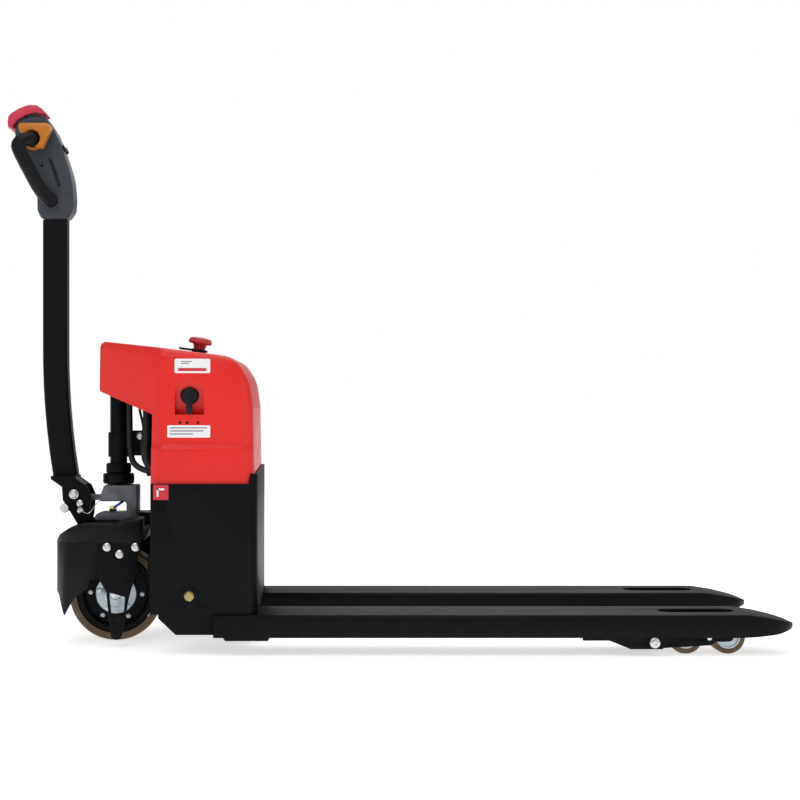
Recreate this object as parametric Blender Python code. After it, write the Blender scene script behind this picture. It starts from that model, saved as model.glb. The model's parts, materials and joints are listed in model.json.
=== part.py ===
"""A powered walkie pallet truck. +X runs along the forks, +Z is up, and the floor is Z = 0.

The cylinder tube is the part that neither steers nor lifts. The chassis lifts on it, the drive
unit steers under it, and the tiller tilts on the drive unit. Dimensions are in metres.
"""

import math

import bmesh
import bpy
from mathutils import Matrix, Vector

# Driving dimensions
GAP = 0.0003
FORK_TIP_X = 0.8575
FORK_REAR_X = -0.381
FORK_OUTER_Y = 0.280
FORK_WIDTH = 0.160
FORK_Y = FORK_OUTER_Y - FORK_WIDTH / 2
FORK_TOP_Z = 0.088
FORK_BOTTOM_Z = 0.040
FORK_PLATE = 0.006

STEER_X = -0.612
WHEEL_X = -0.6145
WHEEL_RADIUS = 0.105
WHEEL_HALF_WIDTH = 0.035

ROLLER_RADIUS = 0.037
ROLLER_HALF_WIDTH = 0.0370
ROLLER_SPACING = 0.090
ARM_PIVOT = (0.550, 0.030)
BOGIE_PIVOT = (0.670, 0.037)
ARM_LUG = (0.529, 0.0617)

ROCKER_PIVOT = (-0.4325, 0.127)
ROCKER_TRAVEL = math.radians(92.0)
FORWARD_CRANK = 0.080
DOWN_CRANK = 0.0292

TILLER_PIVOT = (-0.693, 0.309)
THROTTLE_AXIS = (-0.797, 1.1245)
HEAD_AXIS = Vector((-0.352, 0, 0.936))
FACE_NORMAL = Vector((0.903, 0, 0.430)).normalized()
BUTTONS = {"lift_button": (-0.7400, 0.019, 1.1070), "lower_button": (-0.7400, -0.019, 1.1070),
           "horn_button": (-0.7600, 0.0, 1.1500)}
REVERSE_TRAVEL = 0.004

FRAME_FRONT_X = -0.514
FRAME_REAR_X = -0.2875
FRAME_HALF_WIDTH = 0.272
FRAME_WALL = 0.005
FRAME_TOP_Z = 0.3641
COVER_HALF_WIDTH = 0.262
COVER_WALL = 0.0035
COVER_BOTTOM_Z = 0.3645

DRIVE_HALF_WIDTH = 0.150
KEY_CENTRE = (-0.432, 0.5517)
ESTOP_FOOT = (-0.4185, -0.170, 0.6445)
ESTOP_TILT = math.radians(9.0)


# Shapes
def arc(centre, radius, first, last, steps):
    """Points on an arc, with its two angles in degrees."""
    angles = [math.radians(first + (last - first) * i / steps) for i in range(steps + 1)]
    return [(centre[0] + radius * math.cos(a), centre[1] + radius * math.sin(a)) for a in angles]


def slot_outline(start, end, radius, steps=6):
    """A slot with round ends between two points."""
    turn = math.degrees(math.atan2(end[1] - start[1], end[0] - start[0]))
    far = arc(end, radius, turn - 90, turn + 90, steps)
    near = arc(start, radius, turn + 90, turn + 270, steps)
    return far + near


def inset_outline(outline, distance):
    """The outline of a counter-clockwise polygon, moved inwards by a distance."""
    moved = []
    for i, here in enumerate(outline):
        before = Vector(outline[i - 1])
        after = Vector(outline[(i + 1) % len(outline)])
        here = Vector(here)
        first = (here - before).normalized()
        second = (after - here).normalized()
        inward = Vector((-first.y, first.x)) + Vector((-second.y, second.x))
        inward.normalize()
        stretch = max(inward.dot(Vector((-first.y, first.x))), 0.3)
        moved.append(tuple(here + inward * distance / stretch))
    return moved


def prism(outline, low, high, across="Y"):
    """An outline pushed along one axis. The outline lies in XZ, XY or YZ."""
    def place(a, b, c):
        return {"Y": (a, c, b), "Z": (a, b, c), "X": (c, a, b)}[across]

    shape = bmesh.new()
    near = [shape.verts.new(place(a, b, low)) for a, b in outline]
    far = [shape.verts.new(place(a, b, high)) for a, b in outline]
    shape.faces.new(near)
    shape.faces.new(far)
    for i in range(len(outline)):
        j = (i + 1) % len(outline)
        shape.faces.new((near[i], near[j], far[j], far[i]))
    bmesh.ops.recalc_face_normals(shape, faces=shape.faces)
    return shape


def block(low, high):
    return prism([(low[0], low[1]), (high[0], low[1]), (high[0], high[1]), (low[0], high[1])],
                 low[2], high[2], "Z")


def turned(profile, centre, axis="Y", segments=24):
    """A profile of (radius, height) points turned about an axis through the centre.

    A profile that never touches the axis closes on itself, which leaves a bore.
    """
    def place(radius, height, angle):
        a = radius * math.cos(angle)
        b = radius * math.sin(angle)
        offset = {"X": (height, a, b), "Y": (a, height, b), "Z": (a, b, height)}[axis]
        return Vector(centre) + Vector(offset)

    shape = bmesh.new()
    rings = []
    for radius, height in profile:
        count = segments if radius > 0 else 1
        rings.append([shape.verts.new(place(radius, height, math.tau * i / segments))
                      for i in range(count)])
    bored = all(len(ring) > 1 for ring in rings)
    pairs = list(zip(rings, rings[1:]))
    if bored:
        pairs.append((rings[-1], rings[0]))
    for first, second in pairs:
        if len(first) == 1 and len(second) == 1:
            continue
        for i in range(segments):
            j = (i + 1) % segments
            corners = [first[i % len(first)], first[j % len(first)],
                       second[j % len(second)], second[i % len(second)]]
            shape.faces.new(list(dict.fromkeys(corners)))
    bmesh.ops.recalc_face_normals(shape, faces=shape.faces)
    return shape


def rod(centre, radius, low, high, axis="Y", segments=18, chamfer=0.0):
    """A round bar between two heights on an axis, with its ends chamfered."""
    profile = [(0, low), (radius - chamfer, low), (radius, low + chamfer),
               (radius, high - chamfer), (radius - chamfer, high), (0, high)]
    if not chamfer:
        profile = [(0, low), (radius, low), (radius, high), (0, high)]
    return turned(profile, centre, axis, segments)


def loft(sections):
    """A solid through closed sections that have the same number of points."""
    shape = bmesh.new()
    rings = [[shape.verts.new(point) for point in section] for section in sections]
    for first, second in zip(rings, rings[1:]):
        for i in range(len(first)):
            j = (i + 1) % len(first)
            shape.faces.new((first[i], first[j], second[j], second[i]))
    shape.faces.new(rings[0])
    shape.faces.new(rings[-1])
    bmesh.ops.recalc_face_normals(shape, faces=shape.faces)
    return shape


def ribbon(path, thickness, low, high):
    """A bent upright plate along a plan path, with its own low and high edge at each point."""
    points = [Vector(point) for point in path]
    sections = []
    for i, here in enumerate(points):
        along = points[min(i + 1, len(points) - 1)] - points[max(i - 1, 0)]
        side = Vector((-along.y, along.x)).normalized() * thickness / 2
        one = here + side
        other = here - side
        sections.append([(one.x, one.y, low[i]), (other.x, other.y, low[i]),
                         (other.x, other.y, high[i]), (one.x, one.y, high[i])])
    return loft(sections)


def round_rim(shape, radius, segments, keep):
    """Bevels the edges that keep() picks from an edge's two end points."""
    edges = [edge for edge in shape.edges if keep(edge.verts[0].co, edge.verts[1].co)]
    bmesh.ops.bevel(shape, geom=edges, offset=radius, segments=segments, profile=0.5,
                    affect="EDGES", clamp_overlap=True)
    return shape


def slice_at(shape, axis, positions):
    """Adds edge loops where planes across an axis pass through a shape."""
    for position in positions:
        point = [0, 0, 0]
        normal = [0, 0, 0]
        point[axis] = position
        normal[axis] = 1
        everything = shape.verts[:] + shape.edges[:] + shape.faces[:]
        bmesh.ops.bisect_plane(shape, geom=everything, plane_co=point, plane_no=normal)
    return shape


def keep_side(shape, axis, position, sign):
    """Cuts a shape at a plane across an axis and keeps the side that sign points to."""
    point = [0, 0, 0]
    normal = [0, 0, 0]
    point[axis] = position
    normal[axis] = -sign
    everything = shape.verts[:] + shape.edges[:] + shape.faces[:]
    cut = bmesh.ops.bisect_plane(shape, geom=everything, plane_co=point, plane_no=normal, clear_outer=True)
    rim = [item for item in cut["geom_cut"] if isinstance(item, bmesh.types.BMEdge)]
    bmesh.ops.holes_fill(shape, edges=rim, sides=0)
    bmesh.ops.recalc_face_normals(shape, faces=shape.faces)
    return shape


# Objects
def finish(name, colour, roughness, metallic=0.0):
    made = bpy.data.materials.new(name)
    made.use_nodes = True
    shader = made.node_tree.nodes["Principled BSDF"]
    shader.inputs["Base Color"].default_value = (*colour, 1)
    shader.inputs["Roughness"].default_value = roughness
    shader.inputs["Metallic"].default_value = metallic
    return made


def body(name, place):
    """An empty on a moving body's joint axis."""
    empty = bpy.data.objects.new(name, None)
    empty.empty_display_size = 0.03
    empty.location = place
    bpy.context.scene.collection.objects.link(empty)
    bpy.context.view_layer.update()
    return empty


def solid(name, shape, material, parent, smooth_angle=35):
    """An object from a shape, riding on its body."""
    mesh = bpy.data.meshes.new(name)
    shape.to_mesh(mesh)
    shape.free()
    mesh.materials.append(material)
    mesh.shade_smooth()
    mesh.set_sharp_from_angle(angle=math.radians(smooth_angle))
    made = bpy.data.objects.new(name, mesh)
    bpy.context.scene.collection.objects.link(made)
    made.parent = parent
    made.matrix_parent_inverse = parent.matrix_world.inverted()
    return made


def combine(made, shapes, operation):
    """Adds Booleans to an object: DIFFERENCE cuts the shapes away and UNION joins them on."""
    for i, shape in enumerate(shapes):
        mesh = bpy.data.meshes.new(made.name + "_tool")
        shape.to_mesh(mesh)
        shape.free()
        tool = bpy.data.objects.new(f"{made.name}_{operation.lower()}_{i}", mesh)
        bpy.context.scene.collection.objects.link(tool)
        tool.hide_render = True
        tool.display_type = "WIRE"
        tool.parent = made.parent
        tool.matrix_parent_inverse = made.parent.matrix_world.inverted()
        modifier = made.modifiers.new(tool.name, "BOOLEAN")
        modifier.operation = operation
        modifier.object = tool
    return made


def cut(made, *shapes):
    return combine(made, shapes, "DIFFERENCE")


def join(made, *shapes):
    return combine(made, shapes, "UNION")


def round_edges(made, width, segments=2, angle=40):
    modifier = made.modifiers.new("round_edges", "BEVEL")
    modifier.width = width
    modifier.segments = segments
    modifier.limit_method = "ANGLE"
    modifier.angle_limit = math.radians(angle)
    return made


def bent_bar(name, points, radius, material, parent, resolution=3):
    """A round bar along a smooth path, as a curve with filled ends."""
    path = bpy.data.curves.new(name, "CURVE")
    path.dimensions = "3D"
    path.bevel_depth = radius
    path.bevel_resolution = resolution
    path.use_fill_caps = True
    spline = path.splines.new("POLY")
    spline.points.add(len(points) - 1)
    for target, point in zip(spline.points, points):
        target.co = (*point, 1)
    path.materials.append(material)
    made = bpy.data.objects.new(name, path)
    bpy.context.scene.collection.objects.link(made)
    made.parent = parent
    made.matrix_parent_inverse = parent.matrix_world.inverted()
    return made


def smooth_path(points, steps):
    """Points on a Catmull-Rom curve through the given points."""
    padded = [Vector(points[0]) * 2 - Vector(points[1])]
    padded += [Vector(point) for point in points]
    padded.append(Vector(points[-1]) * 2 - Vector(points[-2]))
    made = []
    for a, b, c, d in zip(padded, padded[1:], padded[2:], padded[3:]):
        for i in range(steps):
            t = i / steps
            made.append(0.5 * (2 * b + (c - a) * t + (2 * a - 5 * b + 4 * c - d) * t ** 2
                               + (3 * b - a - 3 * c + d) * t ** 3))
    made.append(padded[-2])
    return made


# Chassis
def fork(name, side, material, parent):
    """A channel with its open side down, a slot over the rollers and a tapered tip."""
    tip = [(0.750, FORK_TOP_Z), (0.792, 0.0815), (0.838, 0.0710), (0.8525, 0.0668),
           (FORK_TIP_X, 0.0620), (0.8525, 0.0570), (0.815, 0.0475), (0.770, 0.0420)]
    outline = [(FORK_REAR_X, FORK_TOP_Z)] + tip
    outline += [(0.735, FORK_BOTTOM_Z), (-0.262, FORK_BOTTOM_Z), (-0.266, 0.0335),
                (-0.356, 0.0335), (-0.360, FORK_BOTTOM_Z), (FORK_REAR_X, FORK_BOTTOM_Z)]
    y = side * FORK_Y
    half = FORK_WIDTH / 2
    shape = prism(outline, y - half, y + half)

    def on_top_rim(a, b):
        flat = abs(a.y - b.y) < 1e-6
        return flat and a.z > 0.06 and b.z > 0.06 and abs(a.x - b.x) > 0.002

    round_rim(shape, 0.007, 3, on_top_rim)
    made = solid(name, shape, material, parent)
    inner = half - 0.005
    roof = FORK_TOP_Z - FORK_PLATE
    channel = block((FORK_REAR_X - 0.01, y - inner, 0.0), (0.768, y + inner, roof))
    slot = prism(slot_outline((0.598, y), (0.708, y), 0.028), 0.05, 0.10, "Z")
    corner = 0.070
    nose = []
    for end in (-1, 1):
        centre = (FORK_TIP_X - corner, y + end * (half - corner))
        curve = arc(centre, corner, 0, end * 90, 8)
        nose.append(prism(curve + [(FORK_TIP_X - corner, y + end * (half + 0.02)),
                                   (FORK_TIP_X + 0.02, y + end * (half + 0.02)),
                                   (FORK_TIP_X + 0.02, centre[1])], 0.0, 0.12, "Z"))
    cut(made, channel, slot, *nose)
    bracket = [(0.395, 0.050), (0.400, 0.034), (0.455, 0.034), (0.500, 0.016),
               (0.566, 0.016), (0.578, 0.024), (0.582, 0.050)]
    plates = []
    for end in (-1, 1):
        low, high = sorted((y + end * 0.068, y + end * 0.0770))
        plates.append(prism(bracket, low, high))
    join(made, *plates)
    pivot = (ARM_PIVOT[0], 0, ARM_PIVOT[1])
    seats = [rod(pivot, 0.0122, *sorted((y + end * 0.0772, y + end * 0.0900))) for end in (-1, 1)]
    return cut(made, rod(pivot, 0.0088, y - 0.09, y + 0.09), *seats)


def frame_box(material, parent):
    """The welded box: a bent wall open to the front, a bulkhead, a shelf and two lower cheeks."""
    middle = FRAME_HALF_WIDTH - FRAME_WALL / 2
    rear = FRAME_REAR_X - FRAME_WALL / 2
    corner = 0.022
    right = arc((rear - corner, -middle + corner), corner, -90, 0, 6)
    left = arc((rear - corner, middle - corner), corner, 0, 90, 6)
    path = [(FRAME_FRONT_X, -middle)] + right + left + [(FRAME_FRONT_X, middle)]
    raised = 0.385
    high = [FRAME_TOP_Z if x < rear - corner * 0.7 else raised for x, _ in path]
    low = [FORK_TOP_Z + GAP] * len(path)
    made = solid("frame_box", ribbon(path, FRAME_WALL, low, high), material, parent)
    inside = FRAME_HALF_WIDTH - 0.0035
    bulkhead = prism([(-inside, 0.165), (inside, 0.165), (inside, 0.357), (0.120, 0.362),
                      (0.050, 0.598), (-0.050, 0.598), (-0.120, 0.362), (-inside, 0.357)],
                     -0.425, -0.420, "X")
    shelf = block((-0.412, -inside, 0.1400), (FRAME_REAR_X - 0.003, inside, 0.1440))
    cheek = [(-0.498, 0.100), (-0.498, 0.080), (-0.4605, 0.045), (FORK_REAR_X - GAP, 0.045),
             (FORK_REAR_X - GAP, 0.100)]
    cheeks = [prism(cheek, *sorted((side * 0.2620, side * 0.2700))) for side in (-1, 1)]
    join(made, bulkhead, shelf, *cheeks)
    pivot = (ROCKER_PIVOT[0], 0, ROCKER_PIVOT[1])
    sight = rod((-0.491, 0, 0.319), 0.0100, -0.30, -0.2685)
    return cut(made, rod(pivot, 0.0118, -0.30, 0.30), sight)


def cover_shape(outline, half_width, rim):
    """The cover's outer or inner form: an upright outline with round rims and a narrow nose."""
    shape = prism(outline, -half_width, half_width)

    def on_rim(a, b):
        flat = abs(a.y - b.y) < 1e-6
        low = max(a.z, b.z) < COVER_BOTTOM_Z + 0.01
        under = a.x < -0.505 and b.x < -0.505 and max(a.z, b.z) < 0.565
        return flat and not low and not under

    round_rim(shape, rim, 4, on_rim)
    slice_at(shape, 0, [-0.478, -0.490, -0.498, -0.506, -0.516, -0.535])
    slice_at(shape, 2, [0.440, 0.448])
    for vertex in shape.verts:
        ahead = max(0.0, -0.488 - vertex.co.x)
        narrow = math.hypot(ahead, 0.014) - 0.014
        vertex.co.y *= 1 - narrow / COVER_HALF_WIDTH
        if vertex.co.z < 0.441 and abs(vertex.co.y) > 0.2:
            vertex.co.y += math.copysign(0.003, vertex.co.y)
    return shape


def cover(material, parent):
    top = [(-0.6400, 0.6480), (-0.6375, 0.6600), (-0.6330, 0.6670), (-0.6255, 0.6710)]
    top += [(-0.3890, 0.6400), (-0.3550, 0.6340), (-0.3315, 0.6240), (-0.3130, 0.6000),
            (-0.3030, 0.5660), (-0.2975, 0.5330), (-0.2945, COVER_BOTTOM_Z)]
    outline = [(-0.5160, COVER_BOTTOM_Z), (-0.5125, 0.5110), (-0.6415, 0.5610)] + top
    outline.reverse()
    made = solid("cover", cover_shape(outline, COVER_HALF_WIDTH, 0.020), material, parent, 30)
    hollow = [(-0.6415, 0.3000), (-0.6415, 0.5610)] + top[:-1] + [(-0.2935, 0.3000)]
    hollow.reverse()
    inner = inset_outline(hollow, COVER_WALL)
    cut(made, cover_shape(inner, COVER_HALF_WIDTH - COVER_WALL, 0.017))
    recess = slot_outline((KEY_CENTRE[0], 0.520), (KEY_CENTRE[0], 0.5465), 0.0315)
    recess = [(x, max(z, 0.5105)) for x, z in recess]
    recess = list(dict.fromkeys((round(x, 6), round(z, 6)) for x, z in recess))
    niche = prism(recess, -0.30, -0.2450)
    for vertex in niche.verts:
        if vertex.co.y > -0.25:
            vertex.co.y = -0.2625 + (0.580 - vertex.co.z) * 0.20
    backing = prism(slot_outline((KEY_CENTRE[0], 0.515), (KEY_CENTRE[0], 0.5465), 0.0380), -0.2600, -0.2420)
    join(made, backing)
    lock = (KEY_CENTRE[0], 0, KEY_CENTRE[1])
    tilt = Matrix.Rotation(ESTOP_TILT, 4, "Y")
    barrel = rod((0, 0, 0), 0.0162, -0.05, 0.05, "Z")
    barrel.transform(Matrix.Translation(ESTOP_FOOT) @ tilt)
    return cut(made, niche, rod(lock, 0.0172, -0.30, -0.22), barrel)


def electrics(materials, parent):
    """The battery, hydraulic unit and controller behind the bulkhead."""
    shelf = 0.1443
    boxes = {
        "battery": ((-0.412, -0.250, shelf), (-0.305, 0.045, 0.400), "battery"),
        "hydraulic_tank": ((-0.408, 0.062, shelf), (-0.300, 0.250, 0.300), "dark"),
        "controller": ((-0.405, -0.235, 0.4003), (-0.305, -0.075, 0.450), "alloy"),
    }
    for name, (low, high, material) in boxes.items():
        round_edges(solid(name, block(low, high), materials[material], parent), 0.004, 1)
    motor = rod((-0.354, 0.155, 0), 0.045, 0.3003, 0.470, "Z", 24, 0.004)
    solid("pump_motor", motor, materials["dark"], parent)


def lift_gear(materials, parent):
    """The piston rod and the crosshead that carry the chassis on the cylinder."""
    ram = rod((STEER_X, 0, 0), 0.0145, 0.405, 0.5995, "Z", 24, 0.001)
    solid("piston_rod", ram, materials["chrome"], parent)
    plate = block((-0.636, -0.045, 0.5998), (-0.4253, 0.045, 0.612))
    made = solid("crosshead", plate, materials["black"], parent)
    rib = [(-0.630, 0.606), (-0.630, 0.590), (-0.600, 0.575), (-0.440, 0.500),
           (-0.4253, 0.500), (-0.4253, 0.606)]
    join(made, *[prism(rib, *sorted((side * 0.034, side * 0.040))) for side in (-1, 1)])


def key_switch(materials, parent, key_body):
    lock = turned([(0, -0.2625), (0.0155, -0.2625), (0.0165, -0.2615), (0.0165, -0.230), (0, -0.230)],
                  (KEY_CENTRE[0], 0, KEY_CENTRE[1]), "Y", 24)
    solid("key_lock", lock, materials["black"], parent)
    low = (KEY_CENTRE[0], KEY_CENTRE[1] - 0.034)
    blade = prism(slot_outline(low, KEY_CENTRE, 0.0068), -0.2705, -0.2629)
    made = solid("key", blade, materials["black"], key_body)
    join(made, rod((KEY_CENTRE[0], 0, KEY_CENTRE[1]), 0.0125, -0.2690, -0.2629))


def emergency_stop(materials, parent, stop_body):
    place = Matrix.Translation(ESTOP_FOOT) @ Matrix.Rotation(ESTOP_TILT, 4, "Y")
    plate = block((-0.0420, -0.0250, 0.0020), (0.0180, 0.0250, 0.0060))
    plate.transform(Matrix.Translation(ESTOP_FOOT) @ Matrix.Rotation(math.radians(7.5), 4, "Y"))
    base = solid("estop_base", plate, materials["black"], parent)
    barrel = rod((0, 0, 0), 0.0155, -0.030, 0.0075, "Z")
    barrel.transform(place)
    bore = rod((0, 0, 0), 0.0136, -0.012, 0.02, "Z")
    bore.transform(place)
    join(base, barrel)
    cut(base, bore)
    cap = turned([(0, -0.0045), (0.0122, -0.0045), (0.0122, 0.0085), (0.0150, 0.0175), (0.0235, 0.0185),
                  (0.0255, 0.0215), (0.0255, 0.0255), (0.0225, 0.0300), (0.0140, 0.0325), (0, 0.0335)],
                 (0, 0, 0), "Z", 28)
    cap.transform(place)
    solid("estop_button", cap, materials["red"], stop_body)


# Column
def column(materials, parent):
    """The cylinder tube with its collars, and the yoke and pull links that hold the rocker's front."""
    tube = [(0, 0.318), (0.0145, 0.318), (0.0145, 0.351), (0.0195, 0.351), (0.0195, 0.575),
            (0.0163, 0.575), (0.0163, 0.392), (0, 0.392)]
    centre = (STEER_X, 0, 0)
    solid("cylinder_tube", turned(tube, centre, "Z"), materials["black"], parent)
    rings = {"lower_collar": (0.0355, 0.3513, 0.3748), "upper_collar": (0.0285, 0.3751, 0.398)}
    for name, (radius, low, high) in rings.items():
        bevel = 0.003
        profile = [(0.0201, low), (radius - bevel, low), (radius, low + bevel),
                   (radius, high - bevel), (radius - bevel, high), (0.0201, high)]
        solid(name, turned(profile, centre, "Z"), materials["black"], parent)
    hub = rod(centre, 0.0238, 0.412, 0.468, "Z", 28)
    made = solid("yoke", hub, materials["black"], parent)
    web = block((-0.604, -0.0125, 0.415), (-0.500, 0.0125, 0.465))
    bar = block((-0.515, -0.2165, 0.425), (-0.490, 0.2165, 0.455))
    join(made, web, bar)
    cut(made, rod(centre, 0.0200, 0.40, 0.48, "Z"))
    for name, side in (("pull_link_left", 1), ("pull_link_right", -1)):
        outline = [(-0.513, 0.456), (-0.513, 0.230), (-0.5245, 0.205), (-0.5245, 0.168),
                   (-0.4755, 0.168), (-0.4755, 0.205), (-0.492, 0.230), (-0.492, 0.456)]
        near, far = sorted((side * 0.2168, side * 0.2228))
        link = solid(name, prism(outline, near, far), materials["black"], parent)
        rest_z = ROCKER_PIVOT[1] + FORWARD_CRANK * math.sin(ROCKER_TRAVEL / 2)
        slot = slot_outline((-0.5105, rest_z), (-0.4895, rest_z), 0.0085)
        cut(link, prism(slot, side * 0.2 - 0.05, side * 0.2 + 0.05))


# Drive unit
def steering_head(materials, parent):
    """The C-shaped casting that hangs from the column, with the tongue that carries the tiller."""
    jaw = arc((-0.598, 0.3055), 0.007, 90, 0, 3) + arc((-0.598, 0.2945), 0.007, 0, -90, 3)
    outline = [(-0.652, 0.3125)] + jaw + [(-0.648, 0.2875), (-0.661, 0.2830), (-0.661, 0.2690),
                                         (-0.566, 0.2690), (-0.566, 0.3490), (-0.641, 0.3490),
                                         (-0.652, 0.3200)]
    made = solid("steering_head", prism(outline, -0.034, 0.034), materials["casting"], parent)
    round_edges(made, 0.0025, 1)
    tongue = block((-0.704, -0.016, 0.3145), (-0.645, 0.016, 0.3265))
    pivot = (TILLER_PIVOT[0], 0, TILLER_PIVOT[1])
    join(made, tongue, rod(pivot, 0.0145, -0.016, 0.016))
    cut(made, rod((STEER_X, 0, 0), 0.0153, 0.31, 0.36, "Z"), rod(pivot, 0.0063, -0.05, 0.05))
    pin = turned([(0, -0.0490), (0.0085, -0.0490), (0.0085, -0.0429), (0.0055, -0.0429),
                  (0.0055, 0.0429), (0.0085, 0.0429), (0.0085, 0.0490), (0, 0.0490)], pivot, "Y", 20)
    solid("tiller_pin", pin, materials["zinc"], parent)


def drive_frame(materials, parent):
    """The bracket under the steering head that holds the gearbox and the side guards."""
    outside = DRIVE_HALF_WIDTH - 0.0041
    inside = DRIVE_HALF_WIDTH - 0.0075
    plate = block((-0.660, -inside, 0.2305), (-0.552, inside, 0.2500))
    made = solid("drive_frame", plate, materials["black"], parent)
    flanges = []
    for side in (-1, 1):
        for reach, top in ((inside, 0.2400), (outside, 0.2282)):
            near, far = sorted((side * 0.1390, side * reach))
            flanges.append(block((-0.655, near, 0.195), (-0.553, far, top)))
    pedestal = block((-0.655, -0.032, 0.240), (-0.570, 0.032, 0.2687))
    cheek = block((-0.650, 0.045, 0.1675), (-0.580, 0.068, 0.240))
    join(made, *flanges, pedestal, cheek)


def fender(materials, parent):
    """The plastic cap over the drive unit and the skirt in front of the wheel."""
    half = DRIVE_HALF_WIDTH
    front = -0.7400
    outline = [(-0.547, 0.2285), (-0.547, 0.2810), (-0.580, 0.2810), (-0.609, 0.2680),
               (-0.680, 0.2675), (-0.706, 0.2600), (-0.7290, 0.2450), (front, 0.2285)]
    corner = 0.075
    cap = solid("fender_cap", round_rim(prism(outline, -half, half), 0.006, 2,
                                        lambda a, b: abs(a.y - b.y) < 1e-6 and min(a.z, b.z) > 0.235),
                materials["plastic"], parent)
    inner = [(-0.550, 0.2200), (-0.550, 0.2775), (-0.579, 0.2775), (-0.608, 0.2640),
             (-0.670, 0.2635), (-0.670, 0.2200)]
    crease = [(-0.655, 0.2270), (-0.580, 0.2830), (-0.580, 0.3000), (-0.780, 0.3000), (-0.780, 0.2270)]
    trough = 0.066
    hollows = []
    recesses = []
    for side in (-1, 1):
        hollows.append(prism(inner, *sorted((side * (trough + 0.003), side * (half - 0.0070)))))
        recesses.append(prism(crease, *sorted((side * (half - 0.0035), side * (half + 0.02)))))
    low_roof = block((-0.734, -0.080, 0.220), (-0.5500, 0.080, 0.2503))
    corners = []
    for end in (-1, 1):
        centre = (front + corner, end * (half - corner))
        curve = arc(centre, corner, 180, 180 - end * 90, 10)
        outside = [(front + corner, end * (half + 0.02)), (front - 0.02, end * (half + 0.02)),
                   (front - 0.02, centre[1])]
        corners.append(prism(curve + outside, 0.20, 0.30, "Z"))
    slope = prism([(-0.76, 0.2380), (-0.735, 0.2540), (-0.50, 0.2540), (-0.50, 0.30), (-0.76, 0.30)],
                  -trough, trough)
    hole = block((-0.6563, -0.0343, 0.24), (-0.5500, 0.0343, 0.30))
    cut(cap, *recesses, *corners, slope, *hollows, low_roof, hole)

    middle = half - 0.0015
    bend = corner - 0.0015
    right = arc((front + corner, -half + corner), bend, 270, 180, 10)
    left = arc((front + corner, half - corner), bend, 180, 90, 10)
    path = [(-0.6405, -middle), (-0.659, -middle)] + right + left + [(-0.659, middle), (-0.6405, middle)]
    turn = [0.128, 0.120, 0.112, 0.099, 0.083, 0.068, 0.090, 0.112, 0.117, 0.119, 0.120]
    low = [0.150, 0.1490] + turn + turn[::-1] + [0.1490, 0.150]
    high = [0.2282] * len(path)
    solid("fender_skirt", ribbon(path, 0.003, low, high), materials["plastic"], parent)


def side_guards(materials, parent):
    """Two plates beside the wheel. Each tapers to a round foot and has a window."""
    foot = arc((-0.600, 0.030), 0.0130, 195, 340, 6)
    outline = foot + [(-0.5721, 0.111), (-0.5572, 0.164), (-0.5507, 0.209), (-0.5507, 0.2282),
                      (-0.6401, 0.2282), (-0.6401, 0.152), (-0.6328, 0.1404), (-0.6223, 0.122)]
    window = [(-0.6103, 0.0662), (-0.5839, 0.0675), (-0.5813, 0.1111), (-0.6157, 0.1205)]
    for name, side in (("side_guard_left", 1), ("side_guard_right", -1)):
        near, far = sorted((side * (DRIVE_HALF_WIDTH - 0.0038), side * (DRIVE_HALF_WIDTH + 0.0002)))
        made = solid(name, prism(outline, near, far), materials["black"], parent)
        cut(made, prism(window, near - 0.01, far + 0.01))


def drive_train(materials, parent, wheel_body):
    centre = (WHEEL_X, 0, WHEEL_RADIUS)
    solid("gearbox", rod(centre, 0.0620, 0.0385, 0.0700, "Y", 32, 0.004), materials["alloy"], parent)
    solid("traction_motor", rod(centre, 0.0550, 0.0703, 0.1250, "Y", 32, 0.003), materials["dark"], parent)
    solid("motor_brake", rod(centre, 0.0420, 0.1253, 0.1450, "Y", 28, 0.002), materials["dark"], parent)
    axle = turned([(0, -0.0430), (0.0120, -0.0430), (0.0120, 0.0382), (0, 0.0382)], centre, "Y", 20)
    solid("wheel_axle", axle, materials["zinc"], parent)
    w = WHEEL_HALF_WIDTH
    tread = [(0.0887, -w), (0.1000, -w), (0.1035, -w + 0.0015), (WHEEL_RADIUS, -w + 0.006),
             (WHEEL_RADIUS, w - 0.006), (0.1035, w - 0.0015), (0.1000, w), (0.0887, w)]
    solid("drive_tread", turned(tread, centre, "Y", 40), materials["tread"], wheel_body)
    hub = [(0.0129, -0.0400), (0.0280, -0.0400), (0.0300, -0.0380), (0.0300, -0.0250), (0.0700, -0.0200),
           (0.0740, -0.0335), (0.0880, -0.0335), (0.0880, 0.0335), (0.0740, 0.0335), (0.0700, 0.0120),
           (0.0300, 0.0120), (0.0300, 0.0340), (0.0129, 0.0340)]
    solid("drive_hub", turned(hub, centre, "Y", 36), materials["black"], wheel_body)


# Tiller
def tiller_tube(materials, parent):
    """A rectangular tube that is straight above and bends towards its pivot below."""
    def section(z, half_x, half_y, radius):
        lean = 0.295 * max(0.0, 0.65 - z) ** 2
        corners = [(half_x - radius, half_y - radius, 0), (radius - half_x, half_y - radius, 90),
                   (radius - half_x, radius - half_y, 180), (half_x - radius, radius - half_y, 270)]
        ring = []
        for a, b, start in corners:
            ring += arc((a - 0.754 + lean, b), radius, start, start + 90, 3)
        return [(x, y, z) for x, y in ring]

    heights = [0.3706, 0.42, 0.47, 0.52, 0.57, 0.62, 0.66, 0.9485]
    outer = loft([section(z, 0.0278, 0.0225, 0.007) for z in heights])
    made = solid("tiller_tube", outer, materials["black"], parent)
    bore = [0.385, 0.42, 0.47, 0.52, 0.57, 0.62, 0.66, 0.96]
    cut(made, loft([section(z, 0.0253, 0.0200, 0.0045) for z in bore]))


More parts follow.
